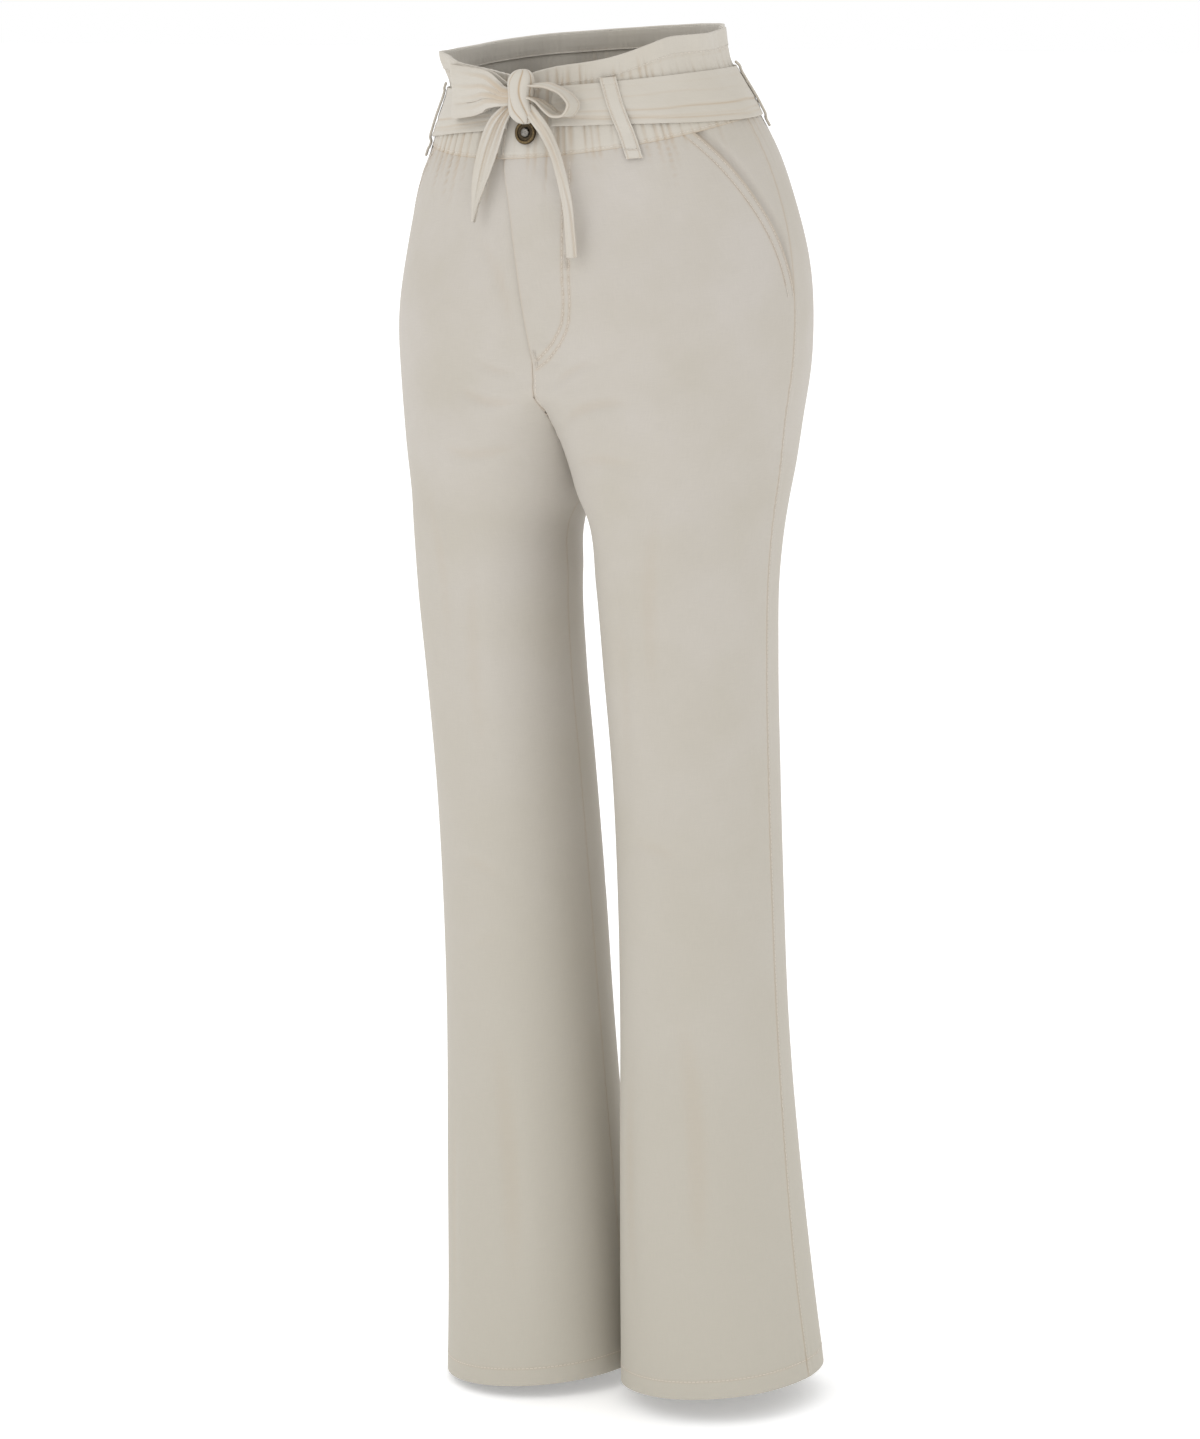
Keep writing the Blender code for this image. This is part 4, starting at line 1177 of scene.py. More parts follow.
def sash_lift(bearing):
    """How far the sash's inside is off the ring: more over the waistband's lapped end."""
    lapped = smoothstep(BAND_LAP_CLEAR + 4.0, 5.0, bearing) + smoothstep(341.0, 346.0, bearing)
    return LAP + (BAND + LAP) * lapped


def make_sash():
    """The sash: a crowned strip with fold lines that run along it and draw together at the knot."""
    bearing = rim_bearings(SASH_FROM, SASH_TO, 560)[None, :]
    share = band_shares(0.032, 34)[:, None]
    low, top = sash_edges(bearing)
    height = low + (top - low) * share
    bearing = np.broadcast_to(bearing, height.shape)
    share = np.broadcast_to(share, height.shape)
    angle = np.radians(bearing)
    to_knot = np.minimum(bearing - SASH_FROM, SASH_TO - bearing)
    relief = np.zeros(height.shape)
    lines = np.zeros(height.shape)
    for i, (at, deep, wander) in enumerate(SASH_FOLDS):
        line = at + wander * np.sin(3.0 * angle + 1.7 * i) + 0.5 * wander * np.sin(11.0 * angle + i)
        line = line + (0.5 - line) * 0.45 * np.exp(-to_knot / 9.0)
        off = (share - line) * (top - low)
        fade = 0.72 + 0.28 * np.sin(2.0 * angle + 2.3 * i)
        under = smoothstep(0.0006, -0.0006, off) * smoothstep(-0.006, -0.001, off)
        relief -= deep * fade * (bell(off, 0.0009) + 0.7 * under)
        lines += deep / 0.00055 * fade * bell(off, 0.0007)
    fan = np.sin(2 * math.pi * share * 3.2 + 0.6) * 0.0007 * np.exp(-to_knot / 7.0)
    slow = 0.0004 * np.sin(9 * angle + 4 * share) + 0.0003 * np.sin(17 * angle - 5 * share + 1.0)
    crown = 0.0007 * np.sin(math.pi * share)
    out = sash_lift(bearing) + SASH_WALL - 0.0007 + crown + relief + fan + slow
    grid, towards = ring_strip(height, bearing, out)
    # Painted shade along the sash's fold lines.
    tint = np.clip(0.5 * lines, 0.0, 0.8)
    piece = cloth("sash_round_waist", grid, towards, SASH_WALL - 0.0004, sash_twill, uv_of(grid), tint)
    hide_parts("sash")


def loop_frame(top_bearing, bottom_bearing):
    """Middle line of a belt loop, with the directions along the strip's width and out of it."""
    sash_low, sash_top = sash_edges((top_bearing + bottom_bearing) / 2)
    end = min(waist_seam(bottom_bearing), sash_low) - LOOP_BELOW_EDGE
    marks = {"end": end, "sash_low": sash_low, "sash_top": sash_top}
    shape = [(marks[mark] + rise, stand) for mark, rise, stand in LOOP_SHAPE]
    shape.insert(1, ((shape[0][0] + shape[1][0]) / 2, 0.0008))
    bends = smooth_path(shape, 400)
    run = run_along(bends[None])[0]
    inner = np.linspace(0.0012, run[-1] - 0.0012, LOOP_ROWS)
    at = np.concatenate((RIM, inner, run[-1] - np.array(RIM)[::-1]))
    height, stand = (np.interp(at, run, bends[:, i])[:, None] for i in range(2))
    share = (height - height[0]) / (height[-1] - height[0])
    bearing = bottom_bearing + (top_bearing - bottom_bearing) * share
    stand = stand + frill_wave(height, bearing)
    along = ring_point(height, bearing + 1.0, stand) - ring_point(height, bearing - 1.0, stand)
    along /= np.linalg.norm(along, axis=-1, keepdims=True)
    out = np.cross(along, (0.0, 0.0, 1.0))
    out /= np.linalg.norm(out, axis=-1, keepdims=True)
    return ring_point(height, bearing, stand), along, out, at


def make_belt_loop(name, top_bearing, bottom_bearing):
    """A belt loop: a crowned strip with two grooves of stitching, thicker at its turned ends."""
    middle, along, out, at = loop_frame(top_bearing, bottom_bearing)
    rim = np.array(RIM)
    inner = np.linspace(0.0011, LOOP_WIDTH - 0.0011, 25)
    across = np.concatenate((rim, inner, LOOP_WIDTH - rim[::-1])) - LOOP_WIDTH / 2
    to_edge = LOOP_WIDTH / 2 - np.abs(across)
    off_stitch = to_edge - LOOP_STITCH_IN
    rise = LOOP_CROWN * np.cos(math.pi * across / LOOP_WIDTH)
    rise += 0.00022 * bell(to_edge - 0.0008, 0.0007) - 0.00028 * bell(off_stitch, 0.0006)
    to_end = np.minimum(at, at[-1] - at)
    turned_in = 0.0005 * smoothstep(0.0075, 0.0055, to_end) - 0.0004 * bell(to_end - 0.0062, 0.0006)
    waves = np.sin(2 * math.pi * at[:, None] / 0.0083 + 3 * np.sign(across)) * np.exp(-to_edge / 0.002)
    sway = 0.00035 * np.sin(at / at[-1] * 9.0 + top_bearing)
    lift = LOOP_WALL + rise + turned_in[:, None] + 0.00014 * waves
    grid = middle + along * (across[None, :, None] + sway[:, None, None]) + out * lift[..., None]
    # Painted shade at the loop's edges, in its stitch grooves and at its turned ends.
    tint = 0.08 * np.exp(-to_edge / 0.0006) + 0.30 * bell(off_stitch, 0.0005)
    tint = tint + 0.15 * np.exp(-to_end / 0.0008)[:, None]
    towards = np.broadcast_to(out, grid.shape)
    piece = cloth(name + "_sewn", grid, towards, LOOP_WALL, sash_twill, uv_of(grid), tint)
    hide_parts(name)


make_sash()
for name, top_bearing, bottom_bearing in LOOP_BEARINGS:
    make_belt_loop(name, top_bearing, bottom_bearing)
print("sash and", len(LOOP_BEARINGS), "belt loops made")

# %% [markdown]
# ## Bow
#
# The knot is the sash wrapped once round itself: a rounded form whose surface is a few strands side
# by side, bowed like brackets and crossed by a deep valley. Out of it come two loops and two
# tails. Each is a ribbon along a route through space. Its folds start close together in the knot,
# spread with the ribbon and die out, as they do where cloth is squeezed at one end.

# %% Bow
KNOT_CENTRE = (0.0000, -0.1095, 0.0245)
KNOT_HALF = (0.0105, 0.0088, 0.0205)
RIBBON_WALL = 0.0016
RIBBON_COLUMNS = 44


def tube(name, rings, material, uv, tint):
    """A closed skin over rings of points, each end ring closed by strips across it."""
    count, around = rings.shape[:2]
    number = np.arange(count * around).reshape(count, around)
    joined = np.hstack((number, number[:, :1]))
    first = np.arange(around // 2 - 1)
    cap = np.stack((first, first + 1, around - 2 - first, around - 1 - first), axis=1)
    faces = np.concatenate((quads(joined), cap[:, ::-1], cap + (count - 1) * around))
    return new_piece(name, rings.reshape(-1, 3), faces, material, uv.reshape(-1, 2), tint.ravel())


def make_knot():
    """The wrap: a rounded upright form with seven strands, each the square root of a sine lobe."""
    lift = np.sin(np.linspace(-math.pi / 2, math.pi / 2, 60))[:, None]
    angle = np.linspace(0.0, 2 * math.pi, 168, endpoint=False)[None, :]
    size = np.maximum((1.0 - np.abs(lift) ** 3.2), 0.0) ** (1 / 2.4)
    size = np.maximum(size, 0.10 + 0.02 * np.abs(lift))
    waist = 1.0 - 0.10 * np.cos(math.pi * lift)
    front = np.sin(angle) < 0
    bow = (0.55 * (1 - lift**2) - 0.45 * (1 - lift)) * np.where(front, 1.0, -1.0) * np.abs(np.sin(angle))
    lobes = np.abs(np.sin(3.5 * (angle + bow + 0.10 * np.sin(2 * angle)) + 0.9)) ** 0.55
    ridge = 0.90 + 0.16 * lobes + 0.03 * np.sin(5 * lift + 3 * angle)
    sway = 0.0022 * (np.abs(lift) ** 1.5 - 0.3)
    x = KNOT_CENTRE[0] + sway + KNOT_HALF[0] * size * waist * ridge * np.cos(angle)
    y = KNOT_CENTRE[1] + KNOT_HALF[1] * size * ridge * np.sin(angle)
    z = KNOT_CENTRE[2] + KNOT_HALF[2] * np.broadcast_to(lift, x.shape) * (0.97 + 0.03 * lobes)
    uv = np.stack((np.broadcast_to(angle * 0.0115, x.shape), np.broadcast_to(lift * 0.022, x.shape)), axis=-1)
    # Painted shade in the valleys between the strands.
    tint = 0.75 * smoothstep(0.62, 0.18, lobes)
    rings = np.stack((x, y, z), axis=-1)
    piece = tube("sash_knot_wrapped", rings, sash_twill, uv, tint)
    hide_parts("sash_knot")


def ribbon_frame(route, count):
    """Rows along a ribbon's route: place, width, and the directions across and out of it.

    The direction across is flipped where it would turn over from one row to the next.
    """
    path = smooth_path(route, count)
    ahead = np.gradient(path[:, :3], axis=0)
    ahead /= np.linalg.norm(ahead, axis=1, keepdims=True)
    lean = np.radians(path[:, 4])[:, None]
    out = np.array((0.0, -1.0, 0.0)) + ahead * ahead[:, 1:2]
    out /= np.linalg.norm(out, axis=1, keepdims=True)
    wide = np.cross(ahead, out) * np.cos(lean) + out * np.sin(lean)
    wide[1:] *= np.cumprod(np.sign((wide[1:] * wide[:-1]).sum(axis=1)))[:, None]
    return path[:, :3], path[:, 3], wide, np.cross(wide, ahead)


def make_ribbon(node, route, count, folds, relief, flat):
    """A ribbon with folds that spread from its ends in the knot.

    A fold is (share across at the knot, share across far away, depth, length it fades over,
    which end it starts from). relief(share along, share across) adds one ribbon's shapes and painted shade.
    """
    middle, width, wide, face = ribbon_frame(route, count)
    width = width[:, None]
    rim = np.array(RIM)[None, :] / width
    inner = np.linspace(0.0, 1.0, RIBBON_COLUMNS + 2)[1:-1]
    inner = 0.06 + 0.88 * np.broadcast_to(inner, (count, RIBBON_COLUMNS))
    across = np.sort(np.hstack((rim, inner, 1.0 - rim[:, ::-1])), axis=1)
    share = np.broadcast_to(np.linspace(0.0, 1.0, count)[:, None], across.shape)
    run = run_along(middle[None])[0][:, None]
    lift, lines = relief(share, across)
    for near, far, deep, length, end in folds:
        off_end = run if end == 0 else run[-1] - run
        line = far + (near - far) * np.exp(-off_end / length)
        off = (across - line) * width
        trough = bell(off, 0.0016) * (1.0 - 0.8 * (off / 0.0016) ** 2)
        lift = lift - deep * trough * bell(off_end, 2.2 * length)
        lines = lines + deep / 0.0012 * bell(off, 0.0009) * bell(off_end, 1.6 * length)
    place = (across - 0.5) * width
    out = face[:, None] * (RIBBON_WALL / 2 + lift)[..., None]
    grid = middle[:, None] + wide[:, None] * place[..., None] + out
    to_edge = np.minimum(across, 1.0 - across) * width
    # Painted shade along the folds and at the edges.
    tint = np.clip(0.55 * lines + 0.12 * np.exp(-to_edge / 0.0006), 0.0, 0.85)
    uv = np.stack((place, np.broadcast_to(run, place.shape)), axis=-1)
    towards = np.broadcast_to(face[:, None], grid.shape)
    piece = cloth(node + "_folded", grid, towards, RIBBON_WALL, sash_twill, uv, tint)
    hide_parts(node)


BOW_RIGHT_ROUTE = (  # x, y, z, width, lean: out behind, round the end and back in front
    (-0.0060, -0.1030, 0.0245, 0.0110, 0),
    (-0.0150, -0.1010, 0.0250, 0.0150, 0),
    (-0.0220, -0.1005, 0.0262, 0.0200, 0),
    (-0.0340, -0.0985, 0.0282, 0.0290, 0),
    (-0.0480, -0.0945, 0.0272, 0.0350, 0),
    (-0.0620, -0.0885, 0.0262, 0.0390, 0),
    (-0.0715, -0.0840, 0.0260, 0.0410, 0),
    (-0.0752, -0.0850, 0.0260, 0.0410, 0),
    (-0.0720, -0.0895, 0.0260, 0.0410, 0),
    (-0.0610, -0.0960, 0.0263, 0.0390, 0),
    (-0.0470, -0.1030, 0.0272, 0.0360, 0),
    (-0.0320, -0.1080, 0.0286, 0.0290, 0),
    (-0.0210, -0.1110, 0.0265, 0.0200, 0),
    (-0.0150, -0.1120, 0.0250, 0.0150, 0),
    (-0.0060, -0.1100, 0.0245, 0.0110, 0),
)
BOW_LEFT_ROUTE = (  # out along the top, round the end and back below, seen into from the front
    (0.0060, -0.1090, 0.0330, 0.0110, 90),
    (0.0145, -0.1095, 0.0335, 0.0130, 90),
    (0.0200, -0.1100, 0.0338, 0.0150, 90),
    (0.0295, -0.1095, 0.0312, 0.0170, 90),
    (0.0382, -0.1080, 0.0258, 0.0180, 90),
    (0.0425, -0.1065, 0.0188, 0.0180, 90),
    (0.0375, -0.1070, 0.0108, 0.0170, 90),
    (0.0290, -0.1085, 0.0108, 0.0160, 90),
    (0.0215, -0.1100, 0.0165, 0.0140, 90),
    (0.0150, -0.1105, 0.0215, 0.0110, 90),
    (0.0060, -0.1100, 0.0240, 0.0100, 90),
)
TAIL_RIGHT_ROUTE = (  # x, y, z, width, lean
    (-0.0070, -0.1080, 0.0200, 0.0090, 12),
    (-0.0160, -0.1070, 0.0125, 0.0100, 10),
    (-0.0225, -0.1070, 0.0045, 0.0140, 8),
    (-0.0290, -0.1080, -0.0100, 0.0160, 6),
    (-0.0345, -0.1090, -0.0260, 0.0155, 4),
    (-0.0395, -0.1100, -0.0430, 0.0115, 2),
    (-0.0430, -0.1105, -0.0570, 0.0060, 0),
    (-0.0452, -0.1110, -0.0700, 0.0025, 0),
)
TAIL_LEFT_ROUTE = (
    (0.0060, -0.1120, 0.0170, 0.0090, 10),
    (0.0150, -0.1140, 0.0080, 0.0100, 15),
    (0.0200, -0.1125, 0.0005, 0.0095, 30),
    (0.0276, -0.1125, -0.0131, 0.0085, 40),
    (0.0347, -0.1140, -0.0329, 0.0080, 35),
    (0.0397, -0.1150, -0.0550, 0.0080, 15),
    (0.0421, -0.1160, -0.0771, 0.0085, 0),
    (0.0428, -0.1165, -0.0942, 0.0085, 5),
)


def bow_right_relief(along, across):
    """A rounded front, a little slack at the outer end, with a soft fold along its lower third."""
    front = smoothstep(0.50, 0.62, along)
    crest = -0.0022 * np.sin(math.pi * across) * front
    low_fold = bell(across - 0.30 - 0.12 * (along - 0.8), 0.035) * front
    outer_end = smoothstep(0.2, 0.5, along) * smoothstep(0.9, 0.7, along)
    slack = 0.0006 * np.sin(7 * across + 9 * along) * outer_end
    return crest + 0.0009 * low_fold + slack, 0.35 * low_fold


def bow_left_relief(along, across):
    """A doubled edge: the two layers of the folded strip part along a groove near each edge."""
    groove = bell(across - 0.86, 0.05) + bell(across - 0.14, 0.05)
    slack = 0.0005 * np.sin(14 * along + 3 * across)
    return slack - 0.0006 * groove, 0.5 * groove


def tail_right_relief(along, across):
    """Two layers side by side: a step down the middle, and an edge that rolls."""
    lower_end = smoothstep(0.0, 0.15, along) * smoothstep(0.9, 0.6, along)
    step = 0.0011 * smoothstep(0.56, 0.64, across) * lower_end
    line = bell(across - 0.58, 0.025) * smoothstep(0.85, 0.5, along)
    roll = 0.0010 * bell(across - 0.05, 0.10)
    return step + roll + 0.0004 * np.sin(11 * along + 5 * across), 0.8 * line


def tail_left_relief(along, across):
    """A strip that folds over itself once and twists a little."""
    fold = bell(across - 0.38 - 0.2 * np.sin(5 * along), 0.10)
    swell = 0.0006 * np.cos(2 * math.pi * (across - 0.5)) + 0.0004 * np.sin(17 * along)
    return swell - 0.0007 * fold, 0.45 * fold


FRONT_FOLDS = (  # of the right-hand loop: from its two ends, in the knot
    (0.30, 0.16, 0.0009, 0.026, 1),
    (0.44, 0.38, 0.0012, 0.024, 1),
    (0.58, 0.62, 0.0010, 0.030, 1),
    (0.74, 0.88, 0.0013, 0.022, 1),
    (0.50, 0.50, 0.0010, 0.030, 0),
    (0.75, 0.80, 0.0008, 0.030, 0),
)
SIDE_FOLDS = (
    (0.35, 0.20, 0.0010, 0.012, 0),
    (0.66, 0.82, 0.0010, 0.012, 0),
    (0.50, 0.40, 0.0010, 0.014, 1),
)
TAIL_FOLDS = (
    (0.30, 0.22, 0.0012, 0.024, 0),
    (0.52, 0.46, 0.0012, 0.030, 0),
    (0.76, 0.84, 0.0012, 0.022, 0),
)
STRIP_FOLDS = (
    (0.40, 0.30, 0.0006, 0.030, 0),
    (0.70, 0.72, 0.0006, 0.050, 0),
)
RIBBONS = (  # node, route, rows, folds, relief, flat size
    ("bow_loop_right", BOW_RIGHT_ROUTE, 190, FRONT_FOLDS, bow_right_relief, (0.036, 0.170)),
    ("bow_loop_left", BOW_LEFT_ROUTE, 120, SIDE_FOLDS, bow_left_relief, (0.018, 0.074)),
    ("sash_tail_right", TAIL_RIGHT_ROUTE, 120, TAIL_FOLDS, tail_right_relief, (0.017, 0.092)),
    ("sash_tail_left", TAIL_LEFT_ROUTE, 150, STRIP_FOLDS, tail_left_relief, (0.012, 0.110)),
)

make_knot()
for ribbon in RIBBONS:
    make_ribbon(*ribbon)
print("knot, two loops and two tails made")

# %% [markdown]
# ## Button
#
# A jeans button is two turned pieces: a ring with a raised, rolled rim, and a small dome riveted
# through its middle. A profile turned round the button's axis makes each.

# %% Button
BUTTON_CENTRE = (-0.0012, -0.0030)  # x, height
BUTTON_RADIUS = 0.0090
TURNED_AROUND = 96
RING_PROFILE = (  # share of the button's radius, distance out from the cloth
    (0.44, 0.0),
    (0.91, 0.0),
    (1.00, 0.0012),
    (0.98, 0.0026),
    (0.87, 0.0034),
    (0.73, 0.0030),
    (0.68, 0.0022),
    (0.58, 0.0020),
    (0.44, 0.0020),
)
DOME_PROFILE = (
    (0.41, 0.0006),
    (0.41, 0.0024),
    (0.36, 0.0031),
    (0.22, 0.0036),
    (0.09, 0.0038),
)


def button_frame():
    """Centre of the button's seat on the lapped waistband, and its outward, up and side directions."""
    x, height = BUTTON_CENTRE
    bearing = math.degrees(math.asin(x / float(form(np.array(height))["half_width"])))
    lapped = BAND + LAP
    aside = ring_point(height, bearing + 1.0, lapped) - ring_point(height, bearing - 1.0, lapped)
    up = ring_point(height + 0.002, bearing, lapped) - ring_point(height - 0.002, bearing, lapped)
    out = np.cross(aside, up)
    out /= np.linalg.norm(out)
    aside /= np.linalg.norm(aside)
    return ring_point(height, bearing, lapped) + out * LAP, out, np.cross(out, aside), aside


def turned(name, node, profile, material, closed):
    """A profile, rounded by a curve through its corners, turned about the button's axis."""
    seat, out, up, aside = button_frame()
    corners = profile + profile[:1] if closed else profile
    rows = smooth_path([(BUTTON_RADIUS * share, rise) for share, rise in corners], 9 * len(profile))
    rows = rows[:-1] if closed else rows
    angle = np.linspace(0.0, 2 * math.pi, TURNED_AROUND, endpoint=False)
    spokes = np.cos(angle)[:, None] * aside + np.sin(angle)[:, None] * up
    dents = 0.00004 * np.sin(5 * angle + 1.0) + 0.00003 * np.sin(11 * angle)
    rings = seat + out * (rows[:, 1, None, None] + dents[:, None]) + rows[:, 0, None, None] * spokes
    rise = np.broadcast_to(rows[:, 1, None], rings.shape[:2])
    tint = smoothstep(rows[:, 1].max() - 0.0009, rows[:, 1].max() - 0.0001, rise)
    uv = np.stack(np.broadcast_arrays(angle[None, :] * 0.01, rise), axis=-1)
    if not closed:
        piece = tube(name, rings, material, uv, tint)
    else:
        number = np.arange(rings.shape[0] * TURNED_AROUND).reshape(-1, TURNED_AROUND)
        number = np.vstack((number, number[:1]))
        faces = quads(np.hstack((number, number[:, :1])))
        piece = new_piece(name, rings.reshape(-1, 3), faces, material, uv.reshape(-1, 2), tint.ravel())
    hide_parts(node)


turned("jeans_button_ring", "button_ring", RING_PROFILE, brass, True)
turned("jeans_button_rivet", "button_centre", DOME_PROFILE, steel, False)
print("button turned at", tuple(round(float(c), 4) for c in button_frame()[0]))

# %% [markdown]
# ## Stitches
#
# Every seam that is stitched on the outside has a row of real stitches: short capsules of thread,
# laid along a path on the cloth with small gaps, a little sunk. All stitches of one kind are one
# piece, made in one go: a unit capsule is copied to every place by three crossed directions.

# %% Stitches
STITCH = 0.0026
STITCH_GAP = 0.0007
THREAD_RADIUS = 0.00027
CAPSULE = ((-0.5, 0.4), (-0.36, 0.95), (0.36, 0.95), (0.5, 0.4))  # share along, share of radius
AROUND = 6
TACKS = ((0.0035, -0.166, -0.178), (0.0325, -0.094, -0.105))  # x, height of the first stitch and the last


def stitch_row(path, outward, length=STITCH, gap=STITCH_GAP):
    """Middles, directions, outward directions and lengths of stitches at even steps along a path."""
    run = run_along(path[None])[0]
    count = max(int(run[-1] / (length + gap)), 1)
    at = (np.arange(count) + 0.5) * (run[-1] / count)
    half = length / 2

    def spot(values, where):
        """Three columns of values at these runs."""
        return np.stack([np.interp(where, run, values[:, i]) for i in range(3)], axis=-1)

    ahead = spot(path, at + half) - spot(path, at - half)
    size = np.linalg.norm(ahead, axis=1, keepdims=True)
    ahead /= np.maximum(size, 1e-9)
    out = spot(outward, at)
    out -= ahead * (out * ahead).sum(axis=1, keepdims=True)
    out /= np.linalg.norm(out, axis=1, keepdims=True)
    return np.hstack((spot(path, at), ahead, out, np.full((count, 1), length)))


def sew(name, rows, radius=THREAD_RADIUS):
    """One piece of thread from many stitches: capsules of quads, each ring a scaled circle."""
    spots = np.vstack(rows)
    middle, ahead, out, length = spots[:, 0:3], spots[:, 3:6], spots[:, 6:9], spots[:, 9]
    aside = np.cross(ahead, out)
    angle = np.linspace(0.0, 2 * math.pi, AROUND, endpoint=False)
    along, fat = np.array(CAPSULE).T
    tilt = rng.normal(0.0, 0.05, len(spots))
    ahead = ahead + aside * tilt[:, None]
    middle, ahead, out, aside = (v[:, None, None, :] for v in (middle, ahead, out, aside))
    shell = middle + ahead * (along[None, :] * length[:, None])[..., None, None]
    sides = np.cos(angle)[:, None] * aside + 0.8 * np.sin(angle)[:, None] * out
    points = shell + sides * (fat * radius)[None, :, None, None]
    rings = np.arange(len(CAPSULE) * AROUND).reshape(len(CAPSULE), AROUND)
    skin = quads(np.hstack((rings, rings[:, :1])))
    ends = np.array([(0, 1, 4, 5), (1, 2, 3, 4)])
    unit = np.concatenate((skin, ends[:, ::-1], ends + (len(CAPSULE) - 1) * AROUND))
    faces = (unit[None] + (np.arange(len(spots)) * rings.size)[:, None, None]).reshape(-1, 4)
    piece = new_piece(name, points.reshape(-1, 3), faces, thread)
    print(name, len(spots), "stitches")


def worn_point(height, turn, side, back, lift=0.0):
    """A point on a panel's outside with its folds, and the outward direction, for a row of heights."""
    points = form_point(height, turn, side, back)
    outward = form_normal(height, turn, side, back)
    steps = np.linspace(0.0, 1.0, 121)[None, :]
    level = height[:, None]
    whole = run_along(form_point(level, steps, side, back))[:, -1]
    along = run_along(form_point(level, steps * turn[:, None], side, back))[:, -1]
    worn, _ = press(points, height, along, np.abs(whole - along), back)
    return points + outward * (worn + lift)[:, None], outward


def on_panel(line, back, side=1, lift=0.0):
    """A path on a panel from rows of x and height."""
    height = line[:, 1]
    turn = turns_for(height, -side * line[:, :1], side, back, "x")[:, 0]
    return worn_point(height, turn, side, back, lift)


def upright(x, height):
    """Rows of x and height with one x."""
    return np.stack((np.full(len(height), x), height), axis=1)


def bars(spots, ahead, out, length):
    """Stitches of one length at these spots, all lying the same way."""
    shape = (len(spots), 3)
    sizes = np.full((len(spots), 1), length)
    return np.hstack((spots, np.broadcast_to(ahead, shape), np.broadcast_to(out, shape), sizes))


def seam_rows():
    """Side seams, slant pockets and hems of both legs."""
    rows = []
    for side in (1, -1):
        height = np.arange(HEM + 0.003, -0.150, 0.003)
        turn = turns_for(height, np.full((len(height), 1), 0.0017), side, True, "run")[:, 0]
        rows.append(stitch_row(*worn_point(height, turn, side, True, 0.0001)))
        height = np.arange(SLANT_END + 0.004, -0.014, 0.002)
        for inside in (0.0022, 0.0090):
            run = (slant_length(height) + inside)[:, None]
            turn = turns_for(height, run, side, False, "run")[:, 0]
            rows.append(stitch_row(*worn_point(height, turn, side, False, 0.00035)))
        for back in (False, True):
            turn = np.linspace(0.004, 0.996, 120)
            rows.append(stitch_row(*worn_point(np.full(120, HEM + 0.0145), turn, side, back)))
    return rows


def band_rows():
    """Over the waist seam, along the frill's turned-in top outside and inside, and the lapped end."""
    rows = []
    bearing = np.linspace(-8.0, 351.0, 900)
    for inside, height in (
        (False, waist_seam(bearing) + 0.0022),
        (False, frill_top(bearing) - FRILL_HEM_DEPTH + 0.0028),
        (True, frill_top(bearing) - FRILL_HEM_DEPTH + 0.0028),
    ):
        use = bearing > (6.0 if inside else -8.0)
        worn, _ = band_relief(height, bearing)
        deep = BAND + TWILL + (BAND + LAP) * smoothstep(12.0, 6.0, bearing)
        out = -deep if inside else band_lift(bearing) + 0.00015
        path, towards = ring_strip(height, bearing, worn + out, -1 if inside else 1)
        rows.append(stitch_row(path[use], towards[use], 0.0024, 0.0008))
    height = np.arange(-0.019, 0.002, 0.001)
    rows.append(stitch_row(*ring_strip(height, BAND_START + 1.0, BAND + LAP + 0.0001)))
    return rows


def fly_rows():
    """The double row that shapes the fly, the front seam below it and the double back seam."""
    rows = []
    for path in (fly_outer, fly_inner):
        path = path[path[:, 1] < -0.024]
        points, out = on_panel(path, False)
        lift, _ = fly_relief(*path.T)
        rows.append(stitch_row(points + out * (lift + 0.0003)[:, None], out))
    height = np.arange(-0.262, FLY_LAP_END - 0.014, 0.002)
    rows.append(stitch_row(*on_panel(upright(0.0022, height), False)))
    height = np.arange(-0.268, -0.030, 0.003)
    for away in (0.0020, 0.0068):
        rows.append(stitch_row(*on_panel(upright(away, height), True)))
    return rows


def tack_rows():
    """Bar tacks at the fly and on the loops, and the two rows of stitching along each loop."""
    rows = []
    for x, low, high in TACKS:
        line = upright(x, np.linspace(low, high, 17))
        points, out = on_panel(line, False)
        points += out * (fly_relief(*line.T)[0] + 0.0003)[:, None]
        rows.append(bars(points, (1.0, 0.0, 0.0), out, 0.0030))
    for _, top_bearing, bottom_bearing in LOOP_BEARINGS:
        middle, along, out, at = loop_frame(top_bearing, bottom_bearing)
        middle, along, out = middle[:, 0], along[:, 0], out[:, 0]
        for end in (at[0] + 0.0060, at[-1] - 0.0050):
            row = int(np.abs(at - end).argmin())
            up = np.gradient(middle, axis=0)[row]
            spread = np.linspace(-0.0048, 0.0048, 22)[:, None]
            spots = middle[row] + along[row] * spread + out[row] * (LOOP_WALL + 0.0006)
            rows.append(bars(spots, up / np.linalg.norm(up), out[row], 0.0022))
        for side in (-1, 1):
            away = side * (LOOP_WIDTH / 2 - LOOP_STITCH_IN)
            path = middle + along * away + out * (LOOP_WALL + 0.00018)
            rows.append(stitch_row(path[3:-3], out[3:-3], 0.0022, 0.0007))
    return rows


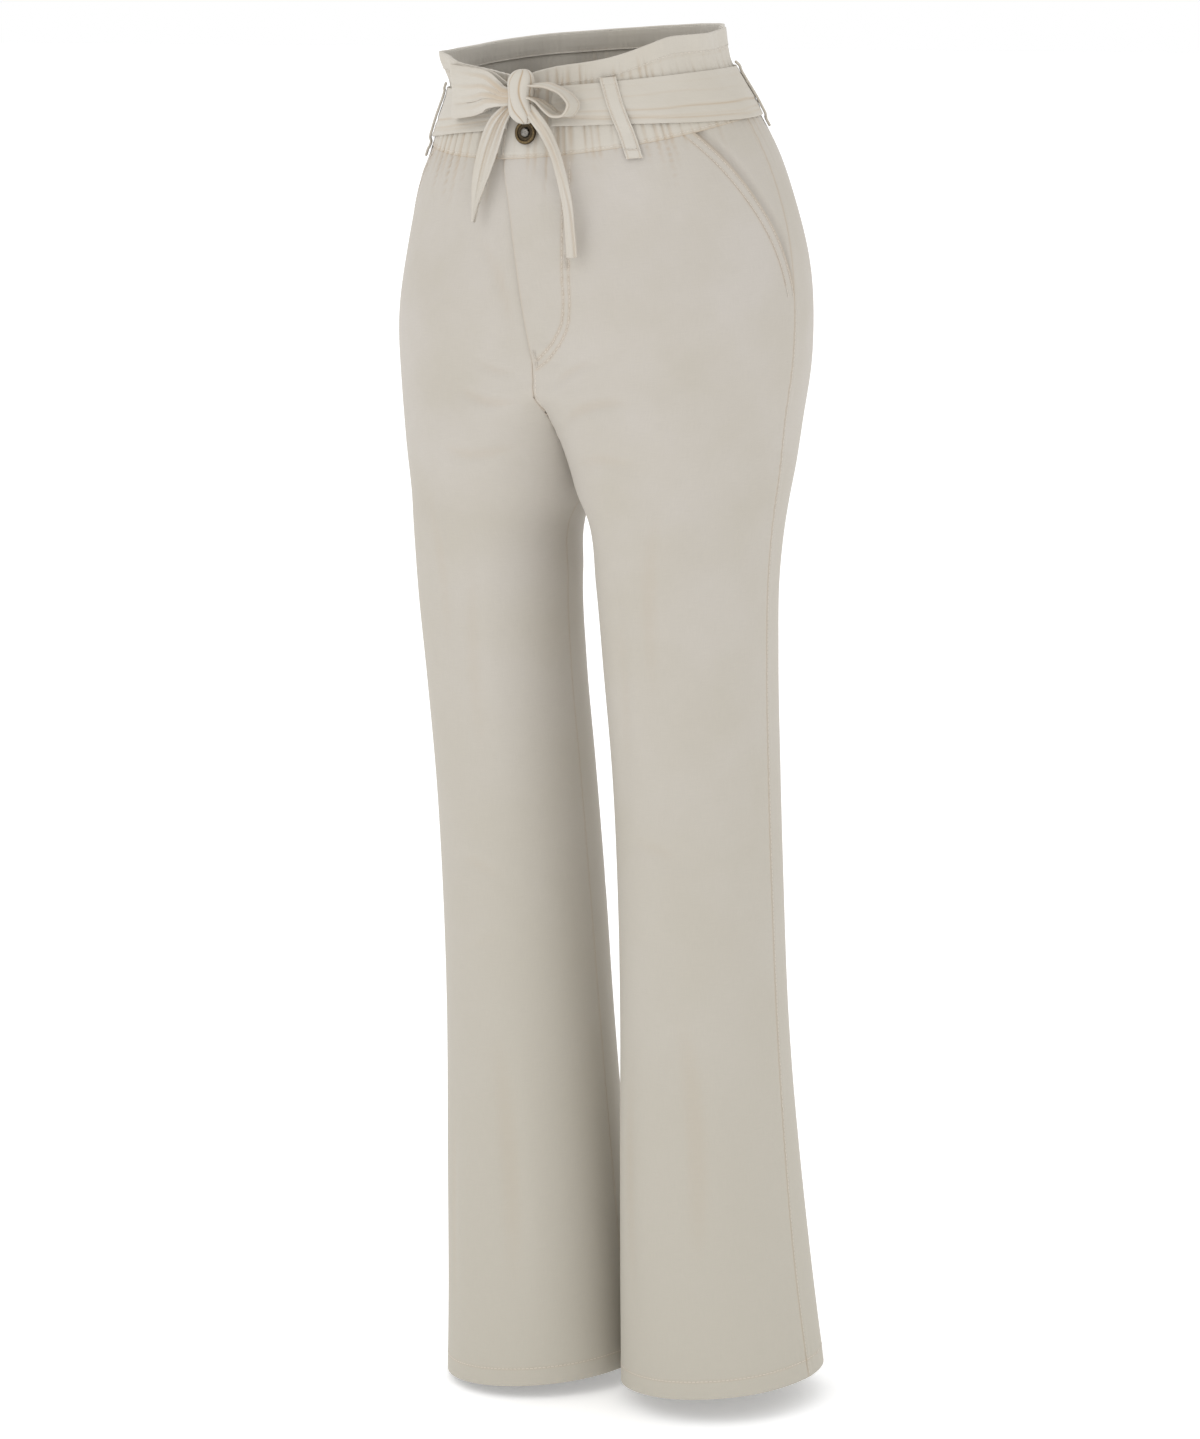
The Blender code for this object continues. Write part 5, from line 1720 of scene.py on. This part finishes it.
sew("seam_stitches", seam_rows())
sew("waistband_stitches", band_rows())
sew("fly_stitches", fly_rows())
sew("loop_stitches", tack_rows(), 0.00019)

# %% [markdown]
# ## Light and floor
#
# Cream cloth on white needs light from all round: a white world does most of it, and two wide area
# lights give the front a direction, so that folds still read. The floor is a wide, plain, pale sheet
# just under the hems.

# %% Light and floor
FLOOR_GAP = 0.004


def make_floor():
    """A flat pale floor, wide enough to show no edge."""
    material, shader, _ = new_material("floor")
    shader.inputs["Base Color"].default_value = (0.93, 0.93, 0.93, 1.0)
    shader.inputs["Roughness"].default_value = 0.9
    shader.inputs["Emission Color"].default_value = (1.0, 1.0, 1.0, 1.0)
    shader.inputs["Emission Strength"].default_value = 0.30
    level = cad_low.z - FLOOR_GAP
    size = 14.0
    mesh = bpy.data.meshes.new("floor")
    corners = [(-size, -size, level), (size, -size, level), (size, size, level), (-size, size, level)]
    mesh.from_pydata(corners, [], [(0, 1, 2, 3)])
    mesh.materials.append(material)
    floor = bpy.data.objects.new("floor", mesh)
    bpy.context.scene.collection.objects.link(floor)


def make_light(name, place, size, power, target=(0.0, 0.0, -0.4)):
    """A square area light that faces a target."""
    data = bpy.data.lights.new(name, "AREA")
    data.shape = "SQUARE"
    data.size = size
    data.energy = power
    light = bpy.data.objects.new(name, data)
    light.location = place
    aim = Vector(target) - Vector(place)
    light.rotation_mode = "QUATERNION"
    light.rotation_quaternion = aim.to_track_quat("-Z", "Y")
    bpy.context.scene.collection.objects.link(light)
    return light


def make_world(strength):
    """A white world of even light."""
    world = bpy.data.worlds.new("studio")
    world.use_nodes = True
    sky = world.node_tree.nodes["Background"]
    sky.inputs["Color"].default_value = (1.0, 1.0, 1.0, 1.0)
    sky.inputs["Strength"].default_value = strength
    bpy.context.scene.world = world


make_floor()
make_world(1.0)
make_light("key", (-1.2, -2.8, 2.2), 2.2, 15.0, (0.0, 0.0, -0.1))
make_light("fill", (2.4, -3.0, -0.2), 2.0, 7.0)
bpy.context.scene.view_settings.view_transform = "Standard"
print("floor at", round(cad_low.z - FLOOR_GAP, 4))
